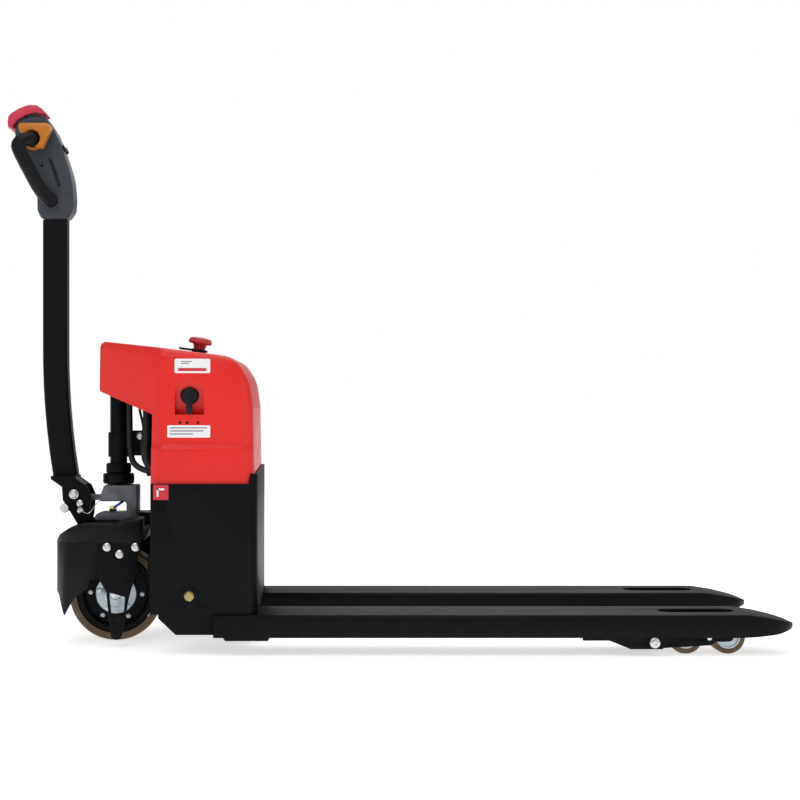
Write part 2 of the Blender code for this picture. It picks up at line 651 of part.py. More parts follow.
def tiller_bracket(materials, parent):
    """Two cheeks that straddle the steering head's tongue, joined by a block under the tube."""
    cheek = [(-0.760, 0.3700), (-0.760, 0.3630), (-0.7350, 0.3455), (-0.7330, 0.3160), (-0.7160, 0.2890),
             (-0.6985, 0.2595), (-0.6790, 0.2595), (-0.6725, 0.2810), (-0.6690, 0.3245),
             (-0.6790, 0.3470), (-0.7036, 0.3645), (-0.7036, 0.3700)]
    made = solid("tiller_bracket", prism(cheek, -0.0425, -0.0365), materials["black"], parent)
    bridge = prism([(-0.7590, 0.3700), (-0.7590, 0.3630), (-0.7360, 0.3465), (-0.7200, 0.3465),
                    (-0.6850, 0.3500), (-0.7046, 0.3645), (-0.7046, 0.3700)], -0.0385, 0.0385)
    boss = rod((-0.727, 0, 0.2986), 0.0100, -0.0600, -0.0380, "Y", 20, 0.001)
    join(made, prism(cheek, 0.0365, 0.0425), bridge, boss)
    pivot = (TILLER_PIVOT[0], 0, TILLER_PIVOT[1])
    cut(made, rod(pivot, 0.0063, -0.06, 0.06))




def head_outline():
    return [(-0.782, 0.9495), (-0.725, 0.9495), (-0.712, 0.9655), (-0.710, 0.992), (-0.7135, 1.0425),
            (-0.7375, 1.1175), (-0.752, 1.148), (-0.7720, 1.1800), (-0.7980, 1.1880), (-0.8280, 1.1810),
            (-0.8410, 1.1660), (-0.8430, 1.1400), (-0.8260, 1.100), (-0.8060, 1.050), (-0.7925, 1.010),
            (-0.7915, 0.9695)]


def head_form(outline, half_width, rim):
    """The head's form: rounded along its rims, narrow at its foot and at the neck of the red button."""
    shape = prism(outline, -half_width, half_width)
    round_rim(shape, rim, 3, lambda a, b: abs(a.y - b.y) < 1e-6 and min(a.z, b.z) < 1.165)
    slice_at(shape, 2, [0.975, 1.000])
    for vertex in shape.verts:
        foot = max(0.0, 1.000 - vertex.co.z) / 0.05
        vertex.co.y *= 1 - 0.25 * min(foot, 1.0)
    return shape


def tiller_head(materials, parent):
    """Two half shells and the two grip loops."""
    half = 0.042
    neck = [(-0.862, 1.1500), (-0.8460, 1.1490), (-0.8320, 1.1640), (-0.8110, 1.1750), (-0.7910, 1.1790),
            (-0.7740, 1.1760), (-0.7600, 1.1700), (-0.7600, 1.2200), (-0.8800, 1.2200)]
    for name, side in (("head_shell_left", 1), ("head_shell_right", -1)):
        shape = keep_side(head_form(head_outline(), half, 0.010), 1, side * 0.00015, side)
        made = solid(name, shape, materials["grey"], parent, 40)
        inner = keep_side(head_form(inset_outline(head_outline(), 0.006), half - 0.0060, 0.005),
                          1, -side * 0.01, side)
        low, high = sorted((side * 0.0330, side * 0.06))
        cut(made, inner, prism(neck, low, high))
        for place in BUTTONS.values():
            if place[1] * side >= 0:
                cut(made, along_normal(0.0088, -0.012, 0.03, place))
    for name, side in (("grip_left", 1), ("grip_right", -1)):
        route = [(-0.797, 0.068, 1.1245), (-0.8030, 0.092, 1.1205), (-0.8140, 0.112, 1.1130),
                 (-0.8195, 0.1190, 1.1010), (-0.8090, 0.1200, 1.0760), (-0.7940, 0.1130, 1.0460),
                 (-0.7800, 0.0960, 1.0170), (-0.7670, 0.072, 0.9960), (-0.7600, 0.0560, 0.9900)]
        ends = [(-0.797, half + 0.0004, 1.1245), (-0.7600, half + 0.0004, 0.9900)]
        points = [(x, y * side, z) for x, y, z in ends[:1] + smooth_path(route, 3) + ends[1:]]
        bent_bar(name, points, 0.0160, materials["rubber"], parent)


def along_normal(radius, low, high, place, chamfer=0.0):
    """A round bar along the normal of the head's upper face."""
    shape = rod((0, 0, 0), radius, low, high, "Z", 20, chamfer)
    turn = Vector((0, 0, 1)).rotation_difference(FACE_NORMAL).to_matrix().to_4x4()
    shape.transform(Matrix.Translation(place) @ turn)
    return shape


def head_controls(materials, bodies):
    """The red reverse button round the head's top, the throttle wings and three push buttons."""
    band = [(-0.8560, 1.1545), (-0.8575, 1.1660), (-0.8555, 1.1790), (-0.8480, 1.1875), (-0.8330, 1.1965),
            (-0.8180, 1.2025), (-0.8070, 1.2050), (-0.7920, 1.2040), (-0.7800, 1.1965), (-0.7725, 1.1880),
            (-0.7780, 1.1850), (-0.7940, 1.1880), (-0.8140, 1.1835), (-0.8350, 1.1720), (-0.8480, 1.1545)]
    made = solid("reverse_button", prism(band, -0.0415, 0.0415), materials["red"], bodies["reverse"])
    pocket = inset_outline(head_outline(), -0.0010)
    tool = prism(pocket, -0.0340, 0.0340)
    bmesh.ops.translate(tool, verts=tool.verts, vec=HEAD_AXIS * (REVERSE_TRAVEL + 0.0005))
    second = prism(pocket, -0.0340, 0.0340)
    cut(made, tool, second)
    x, z = THROTTLE_AXIS
    inner = [(x + px, z + pz) for px, pz in arc((0, 0), 0.0190, -65, 140, 12)]
    wing = [(-0.7883, 1.1040), (-0.7735, 1.1040), (-0.7545, 1.1480), (-0.7590, 1.1560), (-0.7650, 1.1580),
            (-0.8230, 1.1580), (-0.8262, 1.1535), (-0.8250, 1.1410)]
    outline = wing + inner[::-1]
    for name, side in (("throttle_left", 1), ("throttle_right", -1)):
        near, far = sorted((side * 0.0500, side * 0.0800))
        paddle = solid(name, prism(outline, near, far), materials["orange"], bodies["throttle"])
        ring = turned([(0.0172, side * 0.0428), (0.0225, side * 0.0428), (0.0225, side * 0.0560),
                       (0.0172, side * 0.0560)], (x, 0, z), "Y", 32)
        join(paddle, ring)
    for name, place in BUTTONS.items():
        rise = 0.0035 if name == "horn_button" else 0.0105
        solid(name, along_normal(0.0080, -0.0040, rise, place, 0.001), materials["black"], bodies[name])


# Load wheels and linkage
def load_wheels(label, side, materials, bodies):
    """One fork's load arm, bogie and two rollers, which fold down as the chassis lifts."""
    y = side * FORK_Y
    arm_body, link_body, bogie_body = (bodies[f"{part}_{label}"] for part in ("arm", "bogie_pin", "bogie"))
    pivot = (ARM_PIVOT[0], y, ARM_PIVOT[1])
    knuckle = (BOGIE_PIVOT[0], y, BOGIE_PIVOT[1])
    made = solid(f"load_arm_{label}", rod(pivot, 0.0140, -0.0530, 0.0530), materials["black"], arm_body)
    plates = [prism(slot_outline(ARM_PIVOT, BOGIE_PIVOT, 0.0160), y + low, y + low + 0.006)
              for low in (-0.0560, 0.0500)]
    lug = prism(slot_outline(ARM_PIVOT, ARM_LUG, 0.0095), y + 0.0060, y + 0.0140)
    lug_pin = rod((ARM_LUG[0], y, ARM_LUG[1]), 0.0050, -0.0060, 0.0100)
    join(made, *plates, lug, lug_pin)
    cut(made, rod(pivot, 0.0088, -0.07, 0.07), rod(knuckle, 0.0058, -0.07, 0.07))
    pin = turned([(0, -0.0802), (0.0115, -0.0802), (0.0115, -0.0774), (0.0080, -0.0774),
                  (0.0080, 0.0774), (0.0115, 0.0774), (0.0115, 0.0802), (0, 0.0802)], pivot, "Y", 24)
    solid(f"arm_pin_{label}", pin, materials["zinc"], bodies["chassis"])
    solid(f"bogie_pin_{label}", rod(knuckle, 0.0050, -0.0600, 0.0600), materials["zinc"], link_body)

    axles = [(BOGIE_PIVOT[0] + end * ROLLER_SPACING / 2, BOGIE_PIVOT[1]) for end in (-1, 1)]
    bogie = solid(f"bogie_{label}", prism(slot_outline(*axles, 0.0100), y - 0.0450, y - 0.0400),
                  materials["black"], bogie_body)
    join(bogie, prism(slot_outline(*axles, 0.0100), y + 0.0400, y + 0.0450),
         *[rod((x, y, z), 0.0080, -0.0440, 0.0440) for x, z in axles])
    cut(bogie, rod(knuckle, 0.0058, -0.07, 0.07))
    for place, (x, z) in zip(("rear", "front"), axles):
        w = ROLLER_HALF_WIDTH
        profile = [(0.0090, -w), (0.0345, -w), (ROLLER_RADIUS, -w + 0.0035),
                   (ROLLER_RADIUS, w - 0.0035), (0.0345, w), (0.0090, w)]
        solid(f"roller_{place}_{label}", turned(profile, (x, y, z), "Y", 24), materials["tread"],
              bodies[f"roller_{place}_{label}"])


def push_rod(label, side, materials, parent):
    """A flat bar from the rocker's down crank to the load arm, stepped down into the fork."""
    swing = ROCKER_TRAVEL / 2
    rear = (ROCKER_PIVOT[0] - DOWN_CRANK * math.sin(swing), ROCKER_PIVOT[1] - DOWN_CRANK * math.cos(swing))
    inner, outer = sorted((side * FORK_Y - 0.0050, side * FORK_Y + 0.0050))
    top = [(-0.4370, 0.1000), (-0.4250, 0.0795), (-0.4000, 0.0705), (0.508, 0.0705)]
    low = [(0.508, 0.0525), (-0.424, 0.0525), (-0.456, 0.0800)]
    lug = [(rear[0] - 0.0155, 0.0900), (rear[0] - 0.0155, 0.1090), (rear[0] - 0.0090, 0.1153),
           (rear[0] + 0.0090, 0.1153), (rear[0] + 0.0150, 0.1080)]
    path = top + arc(ARM_LUG, 0.0150, 60, -60, 6) + low + lug
    made = solid(f"push_rod_{label}", prism(path, inner, outer), materials["zinc"], parent)
    drop = DOWN_CRANK * (1 - math.cos(swing))
    rear_slot = slot_outline((rear[0], rear[1] - drop), rear, 0.0070)
    front_slot = slot_outline(ARM_LUG, (ARM_LUG[0], ARM_LUG[1] + 0.0065), 0.0065)
    cut(made, prism(rear_slot, inner - 0.01, outer + 0.01), prism(front_slot, inner - 0.01, outer + 0.01))


def rocker(materials, parent):
    """The cross shaft with a bell crank at each end, welded into one piece."""
    pivot = (ROCKER_PIVOT[0], 0, ROCKER_PIVOT[1])
    made = solid("rocker", rod(pivot, 0.0110, -0.2712, 0.2712, "Y", 24, 0.001), materials["zinc"], parent)
    swing = ROCKER_TRAVEL / 2
    ahead = (pivot[0] - FORWARD_CRANK * math.cos(swing), pivot[2] + FORWARD_CRANK * math.sin(swing))
    below = (pivot[0] - DOWN_CRANK * math.sin(swing), pivot[2] - DOWN_CRANK * math.cos(swing))
    for side in (1, -1):
        near, far = sorted((side * 0.2070, side * 0.2140))
        tip_near, tip_far = sorted((side * 0.2100, side * 0.2240))
        low_near, low_far = sorted((side * 0.1950, side * 0.2100))
        join(made, prism(slot_outline(ROCKER_PIVOT, ahead, 0.0120), near, far),
             prism(slot_outline(ROCKER_PIVOT, below, 0.0110), near, far),
             rod((ahead[0], 0, ahead[1]), 0.0050, tip_near, tip_far),
             rod((below[0], 0, below[1]), 0.0050, low_near, low_far))


def main():
    for old in list(bpy.data.objects):
        bpy.data.objects.remove(old, do_unlink=True)
    materials = {
        "black": finish("black_paint", (0.012, 0.013, 0.014), 0.42),
        "red": finish("red_plastic", (0.72, 0.035, 0.028), 0.35),
        "grey": finish("head_plastic", (0.060, 0.075, 0.090), 0.45),
        "plastic": finish("fender_plastic", (0.016, 0.018, 0.020), 0.38),
        "rubber": finish("grip_rubber", (0.018, 0.018, 0.019), 0.60),
        "orange": finish("orange_plastic", (0.85, 0.34, 0.03), 0.40),
        "casting": finish("cast_iron", (0.070, 0.076, 0.096), 0.50, 0.6),
        "zinc": finish("zinc_steel", (0.60, 0.64, 0.65), 0.32, 1.0),
        "chrome": finish("chrome", (0.75, 0.76, 0.78), 0.12, 1.0),
        "tread": finish("polyurethane", (0.26, 0.14, 0.035), 0.40),
        "alloy": finish("alloy", (0.45, 0.46, 0.47), 0.45, 1.0),
        "dark": finish("dark_enamel", (0.030, 0.032, 0.035), 0.50),
        "battery": finish("battery_case", (0.020, 0.022, 0.026), 0.55),
    }
    places = {
        "column": (STEER_X, 0, 0.35),
        "chassis": (STEER_X, 0, 0.45),
        "drive_unit": (STEER_X, 0, 0.30),
        "wheel": (WHEEL_X, 0, WHEEL_RADIUS),
        "tiller": (TILLER_PIVOT[0], 0, TILLER_PIVOT[1]),
        "throttle": (THROTTLE_AXIS[0], 0, THROTTLE_AXIS[1]),
        "reverse": (-0.820, 0, 1.20),
        "estop": ESTOP_FOOT,
        "key": (KEY_CENTRE[0], -0.265, KEY_CENTRE[1]),
        "rocker": (ROCKER_PIVOT[0], 0, ROCKER_PIVOT[1]),
        "push_rods": (0, 0, ARM_LUG[1]),
        **BUTTONS,
    }
    for label, side in (("left", 1), ("right", -1)):
        y = side * FORK_Y
        places[f"arm_{label}"] = (ARM_PIVOT[0], y, ARM_PIVOT[1])
        places[f"bogie_pin_{label}"] = (BOGIE_PIVOT[0], y, BOGIE_PIVOT[1])
        places[f"bogie_{label}"] = (BOGIE_PIVOT[0], y, BOGIE_PIVOT[1])
        for place, end in (("rear", -1), ("front", 1)):
            places[f"roller_{place}_{label}"] = (BOGIE_PIVOT[0] + end * ROLLER_SPACING / 2, y, BOGIE_PIVOT[1])
    bodies = {name: body(name + "_axis", place) for name, place in places.items()}

    chassis = bodies["chassis"]
    frame_box(materials["black"], chassis)
    fork("fork_left", 1, materials["black"], chassis)
    fork("fork_right", -1, materials["black"], chassis)
    cover(materials["red"], chassis)
    electrics(materials, chassis)
    lift_gear(materials, chassis)
    key_switch(materials, chassis, bodies["key"])
    emergency_stop(materials, chassis, bodies["estop"])
    column(materials, bodies["column"])
    drive = bodies["drive_unit"]
    steering_head(materials, drive)
    drive_frame(materials, drive)
    fender(materials, drive)
    side_guards(materials, drive)
    drive_train(materials, drive, bodies["wheel"])
    tiller = bodies["tiller"]
    tiller_tube(materials, tiller)
    tiller_bracket(materials, tiller)
    tiller_head(materials, tiller)
    head_controls(materials, bodies)
    for label, side in (("left", 1), ("right", -1)):
        load_wheels(label, side, materials, bodies)
        push_rod(label, side, materials, bodies["push_rods"])
    rocker(materials, bodies["rocker"])


main()
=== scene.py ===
import json
import math

import bmesh
import bpy
from mathutils import Matrix, Vector


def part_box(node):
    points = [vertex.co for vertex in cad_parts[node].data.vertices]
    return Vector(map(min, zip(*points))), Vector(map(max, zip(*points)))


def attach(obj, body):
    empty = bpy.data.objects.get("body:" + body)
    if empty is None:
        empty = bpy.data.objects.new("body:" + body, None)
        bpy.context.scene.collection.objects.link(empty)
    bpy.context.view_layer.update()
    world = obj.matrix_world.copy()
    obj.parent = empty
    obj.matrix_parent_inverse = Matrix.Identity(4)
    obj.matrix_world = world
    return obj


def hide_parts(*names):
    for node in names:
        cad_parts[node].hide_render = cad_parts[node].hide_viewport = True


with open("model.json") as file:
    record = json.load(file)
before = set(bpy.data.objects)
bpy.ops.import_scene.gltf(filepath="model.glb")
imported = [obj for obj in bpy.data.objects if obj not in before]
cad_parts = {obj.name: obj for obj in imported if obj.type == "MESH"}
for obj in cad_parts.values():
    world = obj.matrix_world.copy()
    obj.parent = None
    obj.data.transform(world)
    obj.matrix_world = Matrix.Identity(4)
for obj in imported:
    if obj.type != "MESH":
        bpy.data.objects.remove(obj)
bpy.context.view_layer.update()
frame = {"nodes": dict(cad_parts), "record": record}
JOINTS = {joint["name"]: joint for joint in frame["record"]["behaviour"]["joints"]}


def pivot(joint):
    """A hinge's place at rest."""
    return Vector(JOINTS[joint]["pos_m"])


def centre(node):
    """The middle of a CAD node's box at rest."""
    low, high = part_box(node)
    return (low + high) / 2


# Places and sizes, in metres
WHEEL = pivot("drive_wheel_spin")
WHEEL_RADIUS = (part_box("drive_tread")[1].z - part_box("drive_tread")[0].z) / 2
WHEEL_SHOULDER = 0.0995
SHOULDER_RADIUS = 0.0055
WHEEL_HALF = (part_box("drive_tread")[1].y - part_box("drive_tread")[0].y) / 2
ROLLER_RADIUS = (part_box("roller_front_left")[1].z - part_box("roller_front_left")[0].z) / 2
ROLLER_HALF = (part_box("roller_front_left")[1].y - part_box("roller_front_left")[0].y) / 2
COVER_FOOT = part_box("cover")[0].z
FRAME_LOW, FRAME_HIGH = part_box("frame_box")
GUARD_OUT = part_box("side_guard_left")[1].y
HEAD_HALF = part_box("head_shell_left")[1].y
KEY = pivot("key_turn")
TILLER = pivot("tiller_tilt")
GUARD_BOLTS = ((-0.620, 0.2200), (-0.5925, 0.2046), (-0.558, 0.2200))
BRACKET_FACE = 0.0425
BRACKET_BOSS = (-0.7270, 0.2986)
BOSS_END = 0.0598
TILLER_PIN_END = 0.0488
ROCKER_END = 0.2712
ESTOP_AXIS = -Vector(JOINTS["estop_press"]["axis"])
FACE_NORMAL = -Vector(JOINTS["lift_press"]["axis"])

LABEL_FACE = -0.2615
LABEL_CORNER = 0.003

# Camera, floor and lights: each light has its place, its width and its power
CAMERA_PLACE = (-0.1725, -3.8, 0.55)
CAMERA_LENS = 75.2
CAMERA_SHIFT = (0.110, -0.005)
FLOOR_BOX = ((-30.0, -30.0, -0.02), (30.0, 60.0, 0.0))
FLOOR_GLOW = 0.62
WORLD_LIGHT = 0.42
BACKDROP_LIGHT = 1.0
LIGHT_TARGET = (0.0, 0.0, 0.35)
LIGHTS = {
    "key_light": ((-1.6, -3.2, 3.4), 2.2, 46.0),
    "fill_light": ((2.8, -2.8, 2.0), 2.4, 16.0),
    "back_light": ((0.6, 3.4, 3.0), 2.8, 30.0),
    "top_light": ((0.0, 0.0, 4.2), 3.0, 46.0),
}


# Materials
class Nodes:
    """A material's node tree with short calls for what every material here uses."""

    def __init__(self, name, colour, roughness, metallic=0.0):
        self.material = bpy.data.materials.new(name)
        self.material.use_nodes = True
        self.tree = self.material.node_tree
        self.shader = self.tree.nodes["Principled BSDF"]
        self.shader.inputs["Base Color"].default_value = (*colour, 1)
        self.shader.inputs["Roughness"].default_value = roughness
        self.shader.inputs["Metallic"].default_value = metallic
        self.colour = colour
        self.roughness = roughness
        self.place = self.tree.nodes.new("ShaderNodeTexCoord").outputs["Object"]

    def link(self, source, target):
        self.tree.links.new(source, target)

    def stretched(self, scale):
        mapping = self.tree.nodes.new("ShaderNodeMapping")
        mapping.inputs["Scale"].default_value = scale
        self.link(self.place, mapping.inputs["Vector"])
        return mapping.outputs["Vector"]

    def noise(self, scale, detail=3.0, vector=None):
        made = self.tree.nodes.new("ShaderNodeTexNoise")
        made.inputs["Scale"].default_value = scale
        made.inputs["Detail"].default_value = detail
        self.link(vector or self.place, made.inputs["Vector"])
        return made.outputs["Fac"]

    def fit(self, value, low, high, start=0.3, end=0.7):
        made = self.tree.nodes.new("ShaderNodeMapRange")
        made.inputs["From Min"].default_value = start
        made.inputs["From Max"].default_value = end
        made.inputs["To Min"].default_value = low
        made.inputs["To Max"].default_value = high
        self.link(value, made.inputs["Value"])
        return made.outputs["Result"]

    def mix(self, factor, first, second):
        made = self.tree.nodes.new("ShaderNodeMix")
        made.data_type = "RGBA"
        for socket, value in ((made.inputs[6], first), (made.inputs[7], second)):
            if isinstance(value, tuple):
                socket.default_value = (*value, 1)
            else:
                self.link(value, socket)
        self.link(factor, made.inputs["Factor"])
        return made.outputs[2]

    def mottle(self, amount, scale=6.0, detail=4.0):
        """Soft light and dark variation of the base colour."""
        dark = tuple(max(c * (1 - amount), 0.0) for c in self.colour)
        light = tuple(min(c * (1 + amount), 1.0) for c in self.colour)
        factor = self.fit(self.noise(scale, detail), 0.0, 1.0)
        return self.mix(factor, dark, light)

    def base(self, output):
        self.link(output, self.shader.inputs["Base Color"])

    def vary_roughness(self, spread, scale=14.0, vector=None):
        value = self.fit(self.noise(scale, 5.0, vector), self.roughness - spread, self.roughness + spread)
        self.link(value, self.shader.inputs["Roughness"])

    def bump(self, height, distance, strength=1.0):
        made = self.tree.nodes.new("ShaderNodeBump")
        made.inputs["Distance"].default_value = distance
        made.inputs["Strength"].default_value = strength
        self.link(height, made.inputs["Height"])
        self.link(made.outputs["Normal"], self.shader.inputs["Normal"])

    def edges(self, low=0.52, high=0.60):
        """1 on convex edges and 0 elsewhere."""
        made = self.tree.nodes.new("ShaderNodeNewGeometry")
        return self.fit(made.outputs["Pointiness"], 0.0, 1.0, low, high)

    def times(self, first, second):
        made = self.tree.nodes.new("ShaderNodeMath")
        made.operation = "MULTIPLY"
        for socket, value in zip(made.inputs, (first, second)):
            if isinstance(value, float):
                socket.default_value = value
            else:
                self.link(value, socket)
        return made.outputs[0]


def powder_coat(name, colour, roughness, peel=420.0):
    """Powder-coated steel: fine orange peel, a little mottle and faintly worn edges."""
    made = Nodes(name, colour, roughness)
    worn = made.times(made.edges(), made.fit(made.noise(60.0, 6.0), 0.0, 0.04, 0.45, 0.65))
    made.base(made.mix(worn, made.mottle(0.10, 5.0), (0.06, 0.061, 0.063)))
    made.vary_roughness(0.03, 9.0)
    made.bump(made.noise(peel, 2.0), 0.00012, 0.5)
    made.shader.inputs["Specular IOR Level"].default_value = 0.09
    return made.material


def moulded(name, colour, roughness, grain=1500.0, depth=0.00006, mottle=0.05, coat=0.0, gloss=0.30):
    """Moulded plastic with a fine spark-eroded grain."""
    made = Nodes(name, colour, roughness)
    made.base(made.mottle(mottle, 7.0))
    made.vary_roughness(0.05, 18.0)
    made.bump(made.noise(grain, 2.0), depth, 0.6)
    made.shader.inputs["Specular IOR Level"].default_value = gloss
    made.shader.inputs["Coat Weight"].default_value = coat
    made.shader.inputs["Coat Roughness"].default_value = 0.25
    return made.material


def plated(name, colour, roughness, patches=0.10, brush=(30.0, 30.0, 900.0)):
    """Zinc-plated or machined steel with patches and fine lines."""
    made = Nodes(name, colour, roughness, 1.0)
    made.base(made.mottle(patches, 60.0, 6.0))
    made.vary_roughness(0.10, 1.0, made.stretched(brush))
    made.bump(made.noise(1.0, 3.0, made.stretched(brush)), 0.00003, 0.5)
    return made.material


def cast(name, colour, roughness):
    """Sand-cast iron under thin paint."""
    made = Nodes(name, colour, roughness, 0.25)
    made.base(made.mottle(0.30, 45.0, 6.0))
    made.vary_roughness(0.10, 60.0)
    made.bump(made.noise(520.0, 4.0), 0.0003, 0.7)
    return made.material


def urethane(name, colour):
    """Cast polyurethane: slightly clear, with a dusty, scuffed running surface."""
    made = Nodes(name, colour, 0.42)
    dusty = made.fit(made.noise(38.0, 6.0), 0.0, 0.35, 0.42, 0.70)
    made.base(made.mix(dusty, made.mottle(0.16, 12.0), (0.115, 0.085, 0.050)))
    made.vary_roughness(0.10, 30.0)
    made.bump(made.noise(240.0, 4.0), 0.00012, 0.5)
    made.shader.inputs["Subsurface Weight"].default_value = 0.08
    made.shader.inputs["Subsurface Radius"].default_value = (0.006, 0.003, 0.001)
    return made.material


def make_materials():
    """Every material by its name. Colours are linear red, green and blue."""
    return {
        "black_paint": powder_coat("black_paint", (0.0036, 0.0039, 0.0045), 0.46),
        "column_paint": powder_coat("column_paint", (0.0034, 0.0036, 0.0041), 0.38, 300.0),
        "red_plastic": moulded("red_plastic", (0.690, 0.0165, 0.0135), 0.36, 1300.0, 0.00005, 0.035, 0.05),
        "stop_red": moulded("stop_red", (0.44, 0.022, 0.028), 0.38, 1700.0, 0.00003, 0.05, 0.2),
        "belly_red": moulded("belly_red", (0.56, 0.036, 0.070), 0.48, 1700.0, 0.00004, 0.05),
        "head_plastic": moulded("head_plastic", (0.034, 0.042, 0.051), 0.48, 1400.0, 0.00007, 0.08),
        "fender_plastic": moulded("fender_plastic", (0.0055, 0.0062, 0.0072), 0.42, 1100.0, 0.00008, 0.12,
                                  gloss=0.14),
        "black_plastic": moulded("black_plastic", (0.0055, 0.0058, 0.0064), 0.44, 1600.0, 0.00004, 0.10,
                                 gloss=0.20),
        "grip_rubber": moulded("grip_rubber", (0.0060, 0.0064, 0.0072), 0.50, 900.0, 0.00010, 0.15,
                               gloss=0.12),
        "orange_plastic": moulded("orange_plastic", (0.50, 0.160, 0.013), 0.38, 1700.0, 0.00003, 0.07, 0.15),
        "cast_iron": cast("cast_iron", (0.125, 0.134, 0.152), 0.46),
        "zinc": plated("zinc", (0.60, 0.62, 0.64), 0.32),
        "galvanised": plated("galvanised", (0.46, 0.53, 0.57), 0.40, 0.22, (60.0, 60.0, 60.0)),
        "brass": plated("brass", (0.42, 0.33, 0.14), 0.34),
        "chrome": plated("chrome", (0.72, 0.73, 0.75), 0.12, 0.03),
        "tread": urethane("tread", (0.110, 0.060, 0.018)),
        "alloy": cast("alloy", (0.36, 0.37, 0.38), 0.42),
        "dark_enamel": powder_coat("dark_enamel", (0.020, 0.021, 0.024), 0.45, 600.0),
        "battery_case": moulded("battery_case", (0.018, 0.020, 0.024), 0.55, 700.0),
        "hose_rubber": moulded("hose_rubber", (0.010, 0.0105, 0.011), 0.48, 500.0, 0.00012, 0.15),
        # Near-black painted shade, used for the dark inside of the sight hole
        "hole_painted_shade": moulded("hole_painted_shade", (0.0008, 0.0008, 0.0009), 0.90),
        "blue_cable": moulded("blue_cable", (0.035, 0.10, 0.42), 0.40),
        "label_white": moulded("label_white", (0.80, 0.79, 0.80), 0.45, 2200.0, 0.00001, 0.02),
        "label_grey": moulded("label_grey", (0.24, 0.25, 0.30), 0.50, 2200.0, 0.00001, 0.10),
        "label_red": moulded("label_red", (0.56, 0.030, 0.045), 0.45, 2200.0, 0.00001, 0.05),
    }


MATERIALS = make_materials()


# Shapes
def arc(middle, radius, first, last, steps):
    """Points on a circle between two angles in degrees."""
    angles = [math.radians(first + (last - first) * i / steps) for i in range(steps + 1)]
    return [(middle[0] + radius * math.cos(a), middle[1] + radius * math.sin(a)) for a in angles]


def slot_outline(start, end, radius, steps=12):
    """A slot with round ends between two points."""
    turn = math.degrees(math.atan2(end[1] - start[1], end[0] - start[0]))
    return arc(end, radius, turn - 90, turn + 90, steps) + arc(start, radius, turn + 90, turn + 270, steps)


def rounded(outline, radius, steps=5):
    """A polygon with its corners rounded. The radius may be one number or one for each corner."""
    radii = radius if isinstance(radius, (list, tuple)) else [radius] * len(outline)
    made = []
    for i, here in enumerate(outline):
        here = Vector(here)
        before = Vector(outline[i - 1]) - here
        after = Vector(outline[(i + 1) % len(outline)]) - here
        half_angle = before.angle(after) / 2
        reach = min(radii[i] / max(math.tan(half_angle), 1e-6), before.length * 0.48, after.length * 0.48)
        if radii[i] <= 0 or reach < 1e-5:
            made.append(tuple(here))
            continue
        start = here + before.normalized() * reach
        end = here + after.normalized() * reach
        for step in range(steps + 1):
            t = step / steps
            point = start * (1 - t) ** 2 + here * 2 * t * (1 - t) + end * t ** 2
            made.append(tuple(point))
    return made


def inset_outline(outline, distance):
    """A counter-clockwise polygon moved inwards."""
    moved = []
    for i, here in enumerate(outline):
        here = Vector(here)
        first = (here - Vector(outline[i - 1])).normalized()
        second = (Vector(outline[(i + 1) % len(outline)]) - here).normalized()
        inward = (Vector((-first.y, first.x)) + Vector((-second.y, second.x))).normalized()
        stretch = max(inward.dot(Vector((-first.y, first.x))), 0.3)
        moved.append(tuple(here + inward * distance / stretch))
    return moved


def prism(outline, low, high, across="Y"):
    """An outline pulled out along Y, when its points are (x, z), or along Z, when they are (x, y)."""
    def place(a, b, c):
        return {"Y": (a, c, b), "Z": (a, b, c)}[across]

    shape = bmesh.new()
    near = [shape.verts.new(place(a, b, low)) for a, b in outline]
    far = [shape.verts.new(place(a, b, high)) for a, b in outline]
    shape.faces.new(near)
    shape.faces.new(far)
    for i in range(len(outline)):
        j = (i + 1) % len(outline)
        shape.faces.new((near[i], near[j], far[j], far[i]))
    bmesh.ops.recalc_face_normals(shape, faces=shape.faces)
    return shape


def block(low, high):
    """A box from its lowest to its highest corner."""
    return prism(upright_box(low, high), low[2], high[2], "Z")


def turned(profile, middle, axis="Y", segments=64):
    """A (radius, height) profile turned about an axis. One that never meets the axis keeps a bore."""
    def place(radius, height, angle):
        a = radius * math.cos(angle)
        b = radius * math.sin(angle)
        return Vector(middle) + Vector({"X": (height, a, b), "Y": (a, height, b), "Z": (a, b, height)}[axis])

    shape = bmesh.new()
    rings = []
    for radius, height in profile:
        count = segments if radius > 0 else 1
        rings.append([shape.verts.new(place(radius, height, math.tau * i / segments)) for i in range(count)])
    pairs = list(zip(rings, rings[1:]))
    if all(len(ring) > 1 for ring in rings):
        pairs.append((rings[-1], rings[0]))
    for first, second in pairs:
        if len(first) == 1 and len(second) == 1:
            continue
        for i in range(segments):
            j = (i + 1) % segments
            corners = [first[i % len(first)], first[j % len(first)],
                       second[j % len(second)], second[i % len(second)]]
            shape.faces.new(list(dict.fromkeys(corners)))
    bmesh.ops.recalc_face_normals(shape, faces=shape.faces)
    return shape


def rod(middle, radius, low, high, axis="Y", segments=32):
    """A plain round bar."""
    return turned([(0, low), (radius, low), (radius, high), (0, high)], middle, axis, segments)


def loft(sections):
    """A closed skin over rings of points that all have the same count."""
    shape = bmesh.new()
    rings = [[shape.verts.new(point) for point in section] for section in sections]
    for first, second in zip(rings, rings[1:]):
        for i in range(len(first)):
            j = (i + 1) % len(first)
            shape.faces.new((first[i], first[j], second[j], second[i]))
    shape.faces.new(rings[0])
    shape.faces.new(rings[-1])
    bmesh.ops.recalc_face_normals(shape, faces=shape.faces)
    return shape


def upright_box(low, high):
    """The four corners of an upright rectangle from its lower and its upper corner."""
    return [(low[0], low[1]), (high[0], low[1]), (high[0], high[1]), (low[0], high[1])]


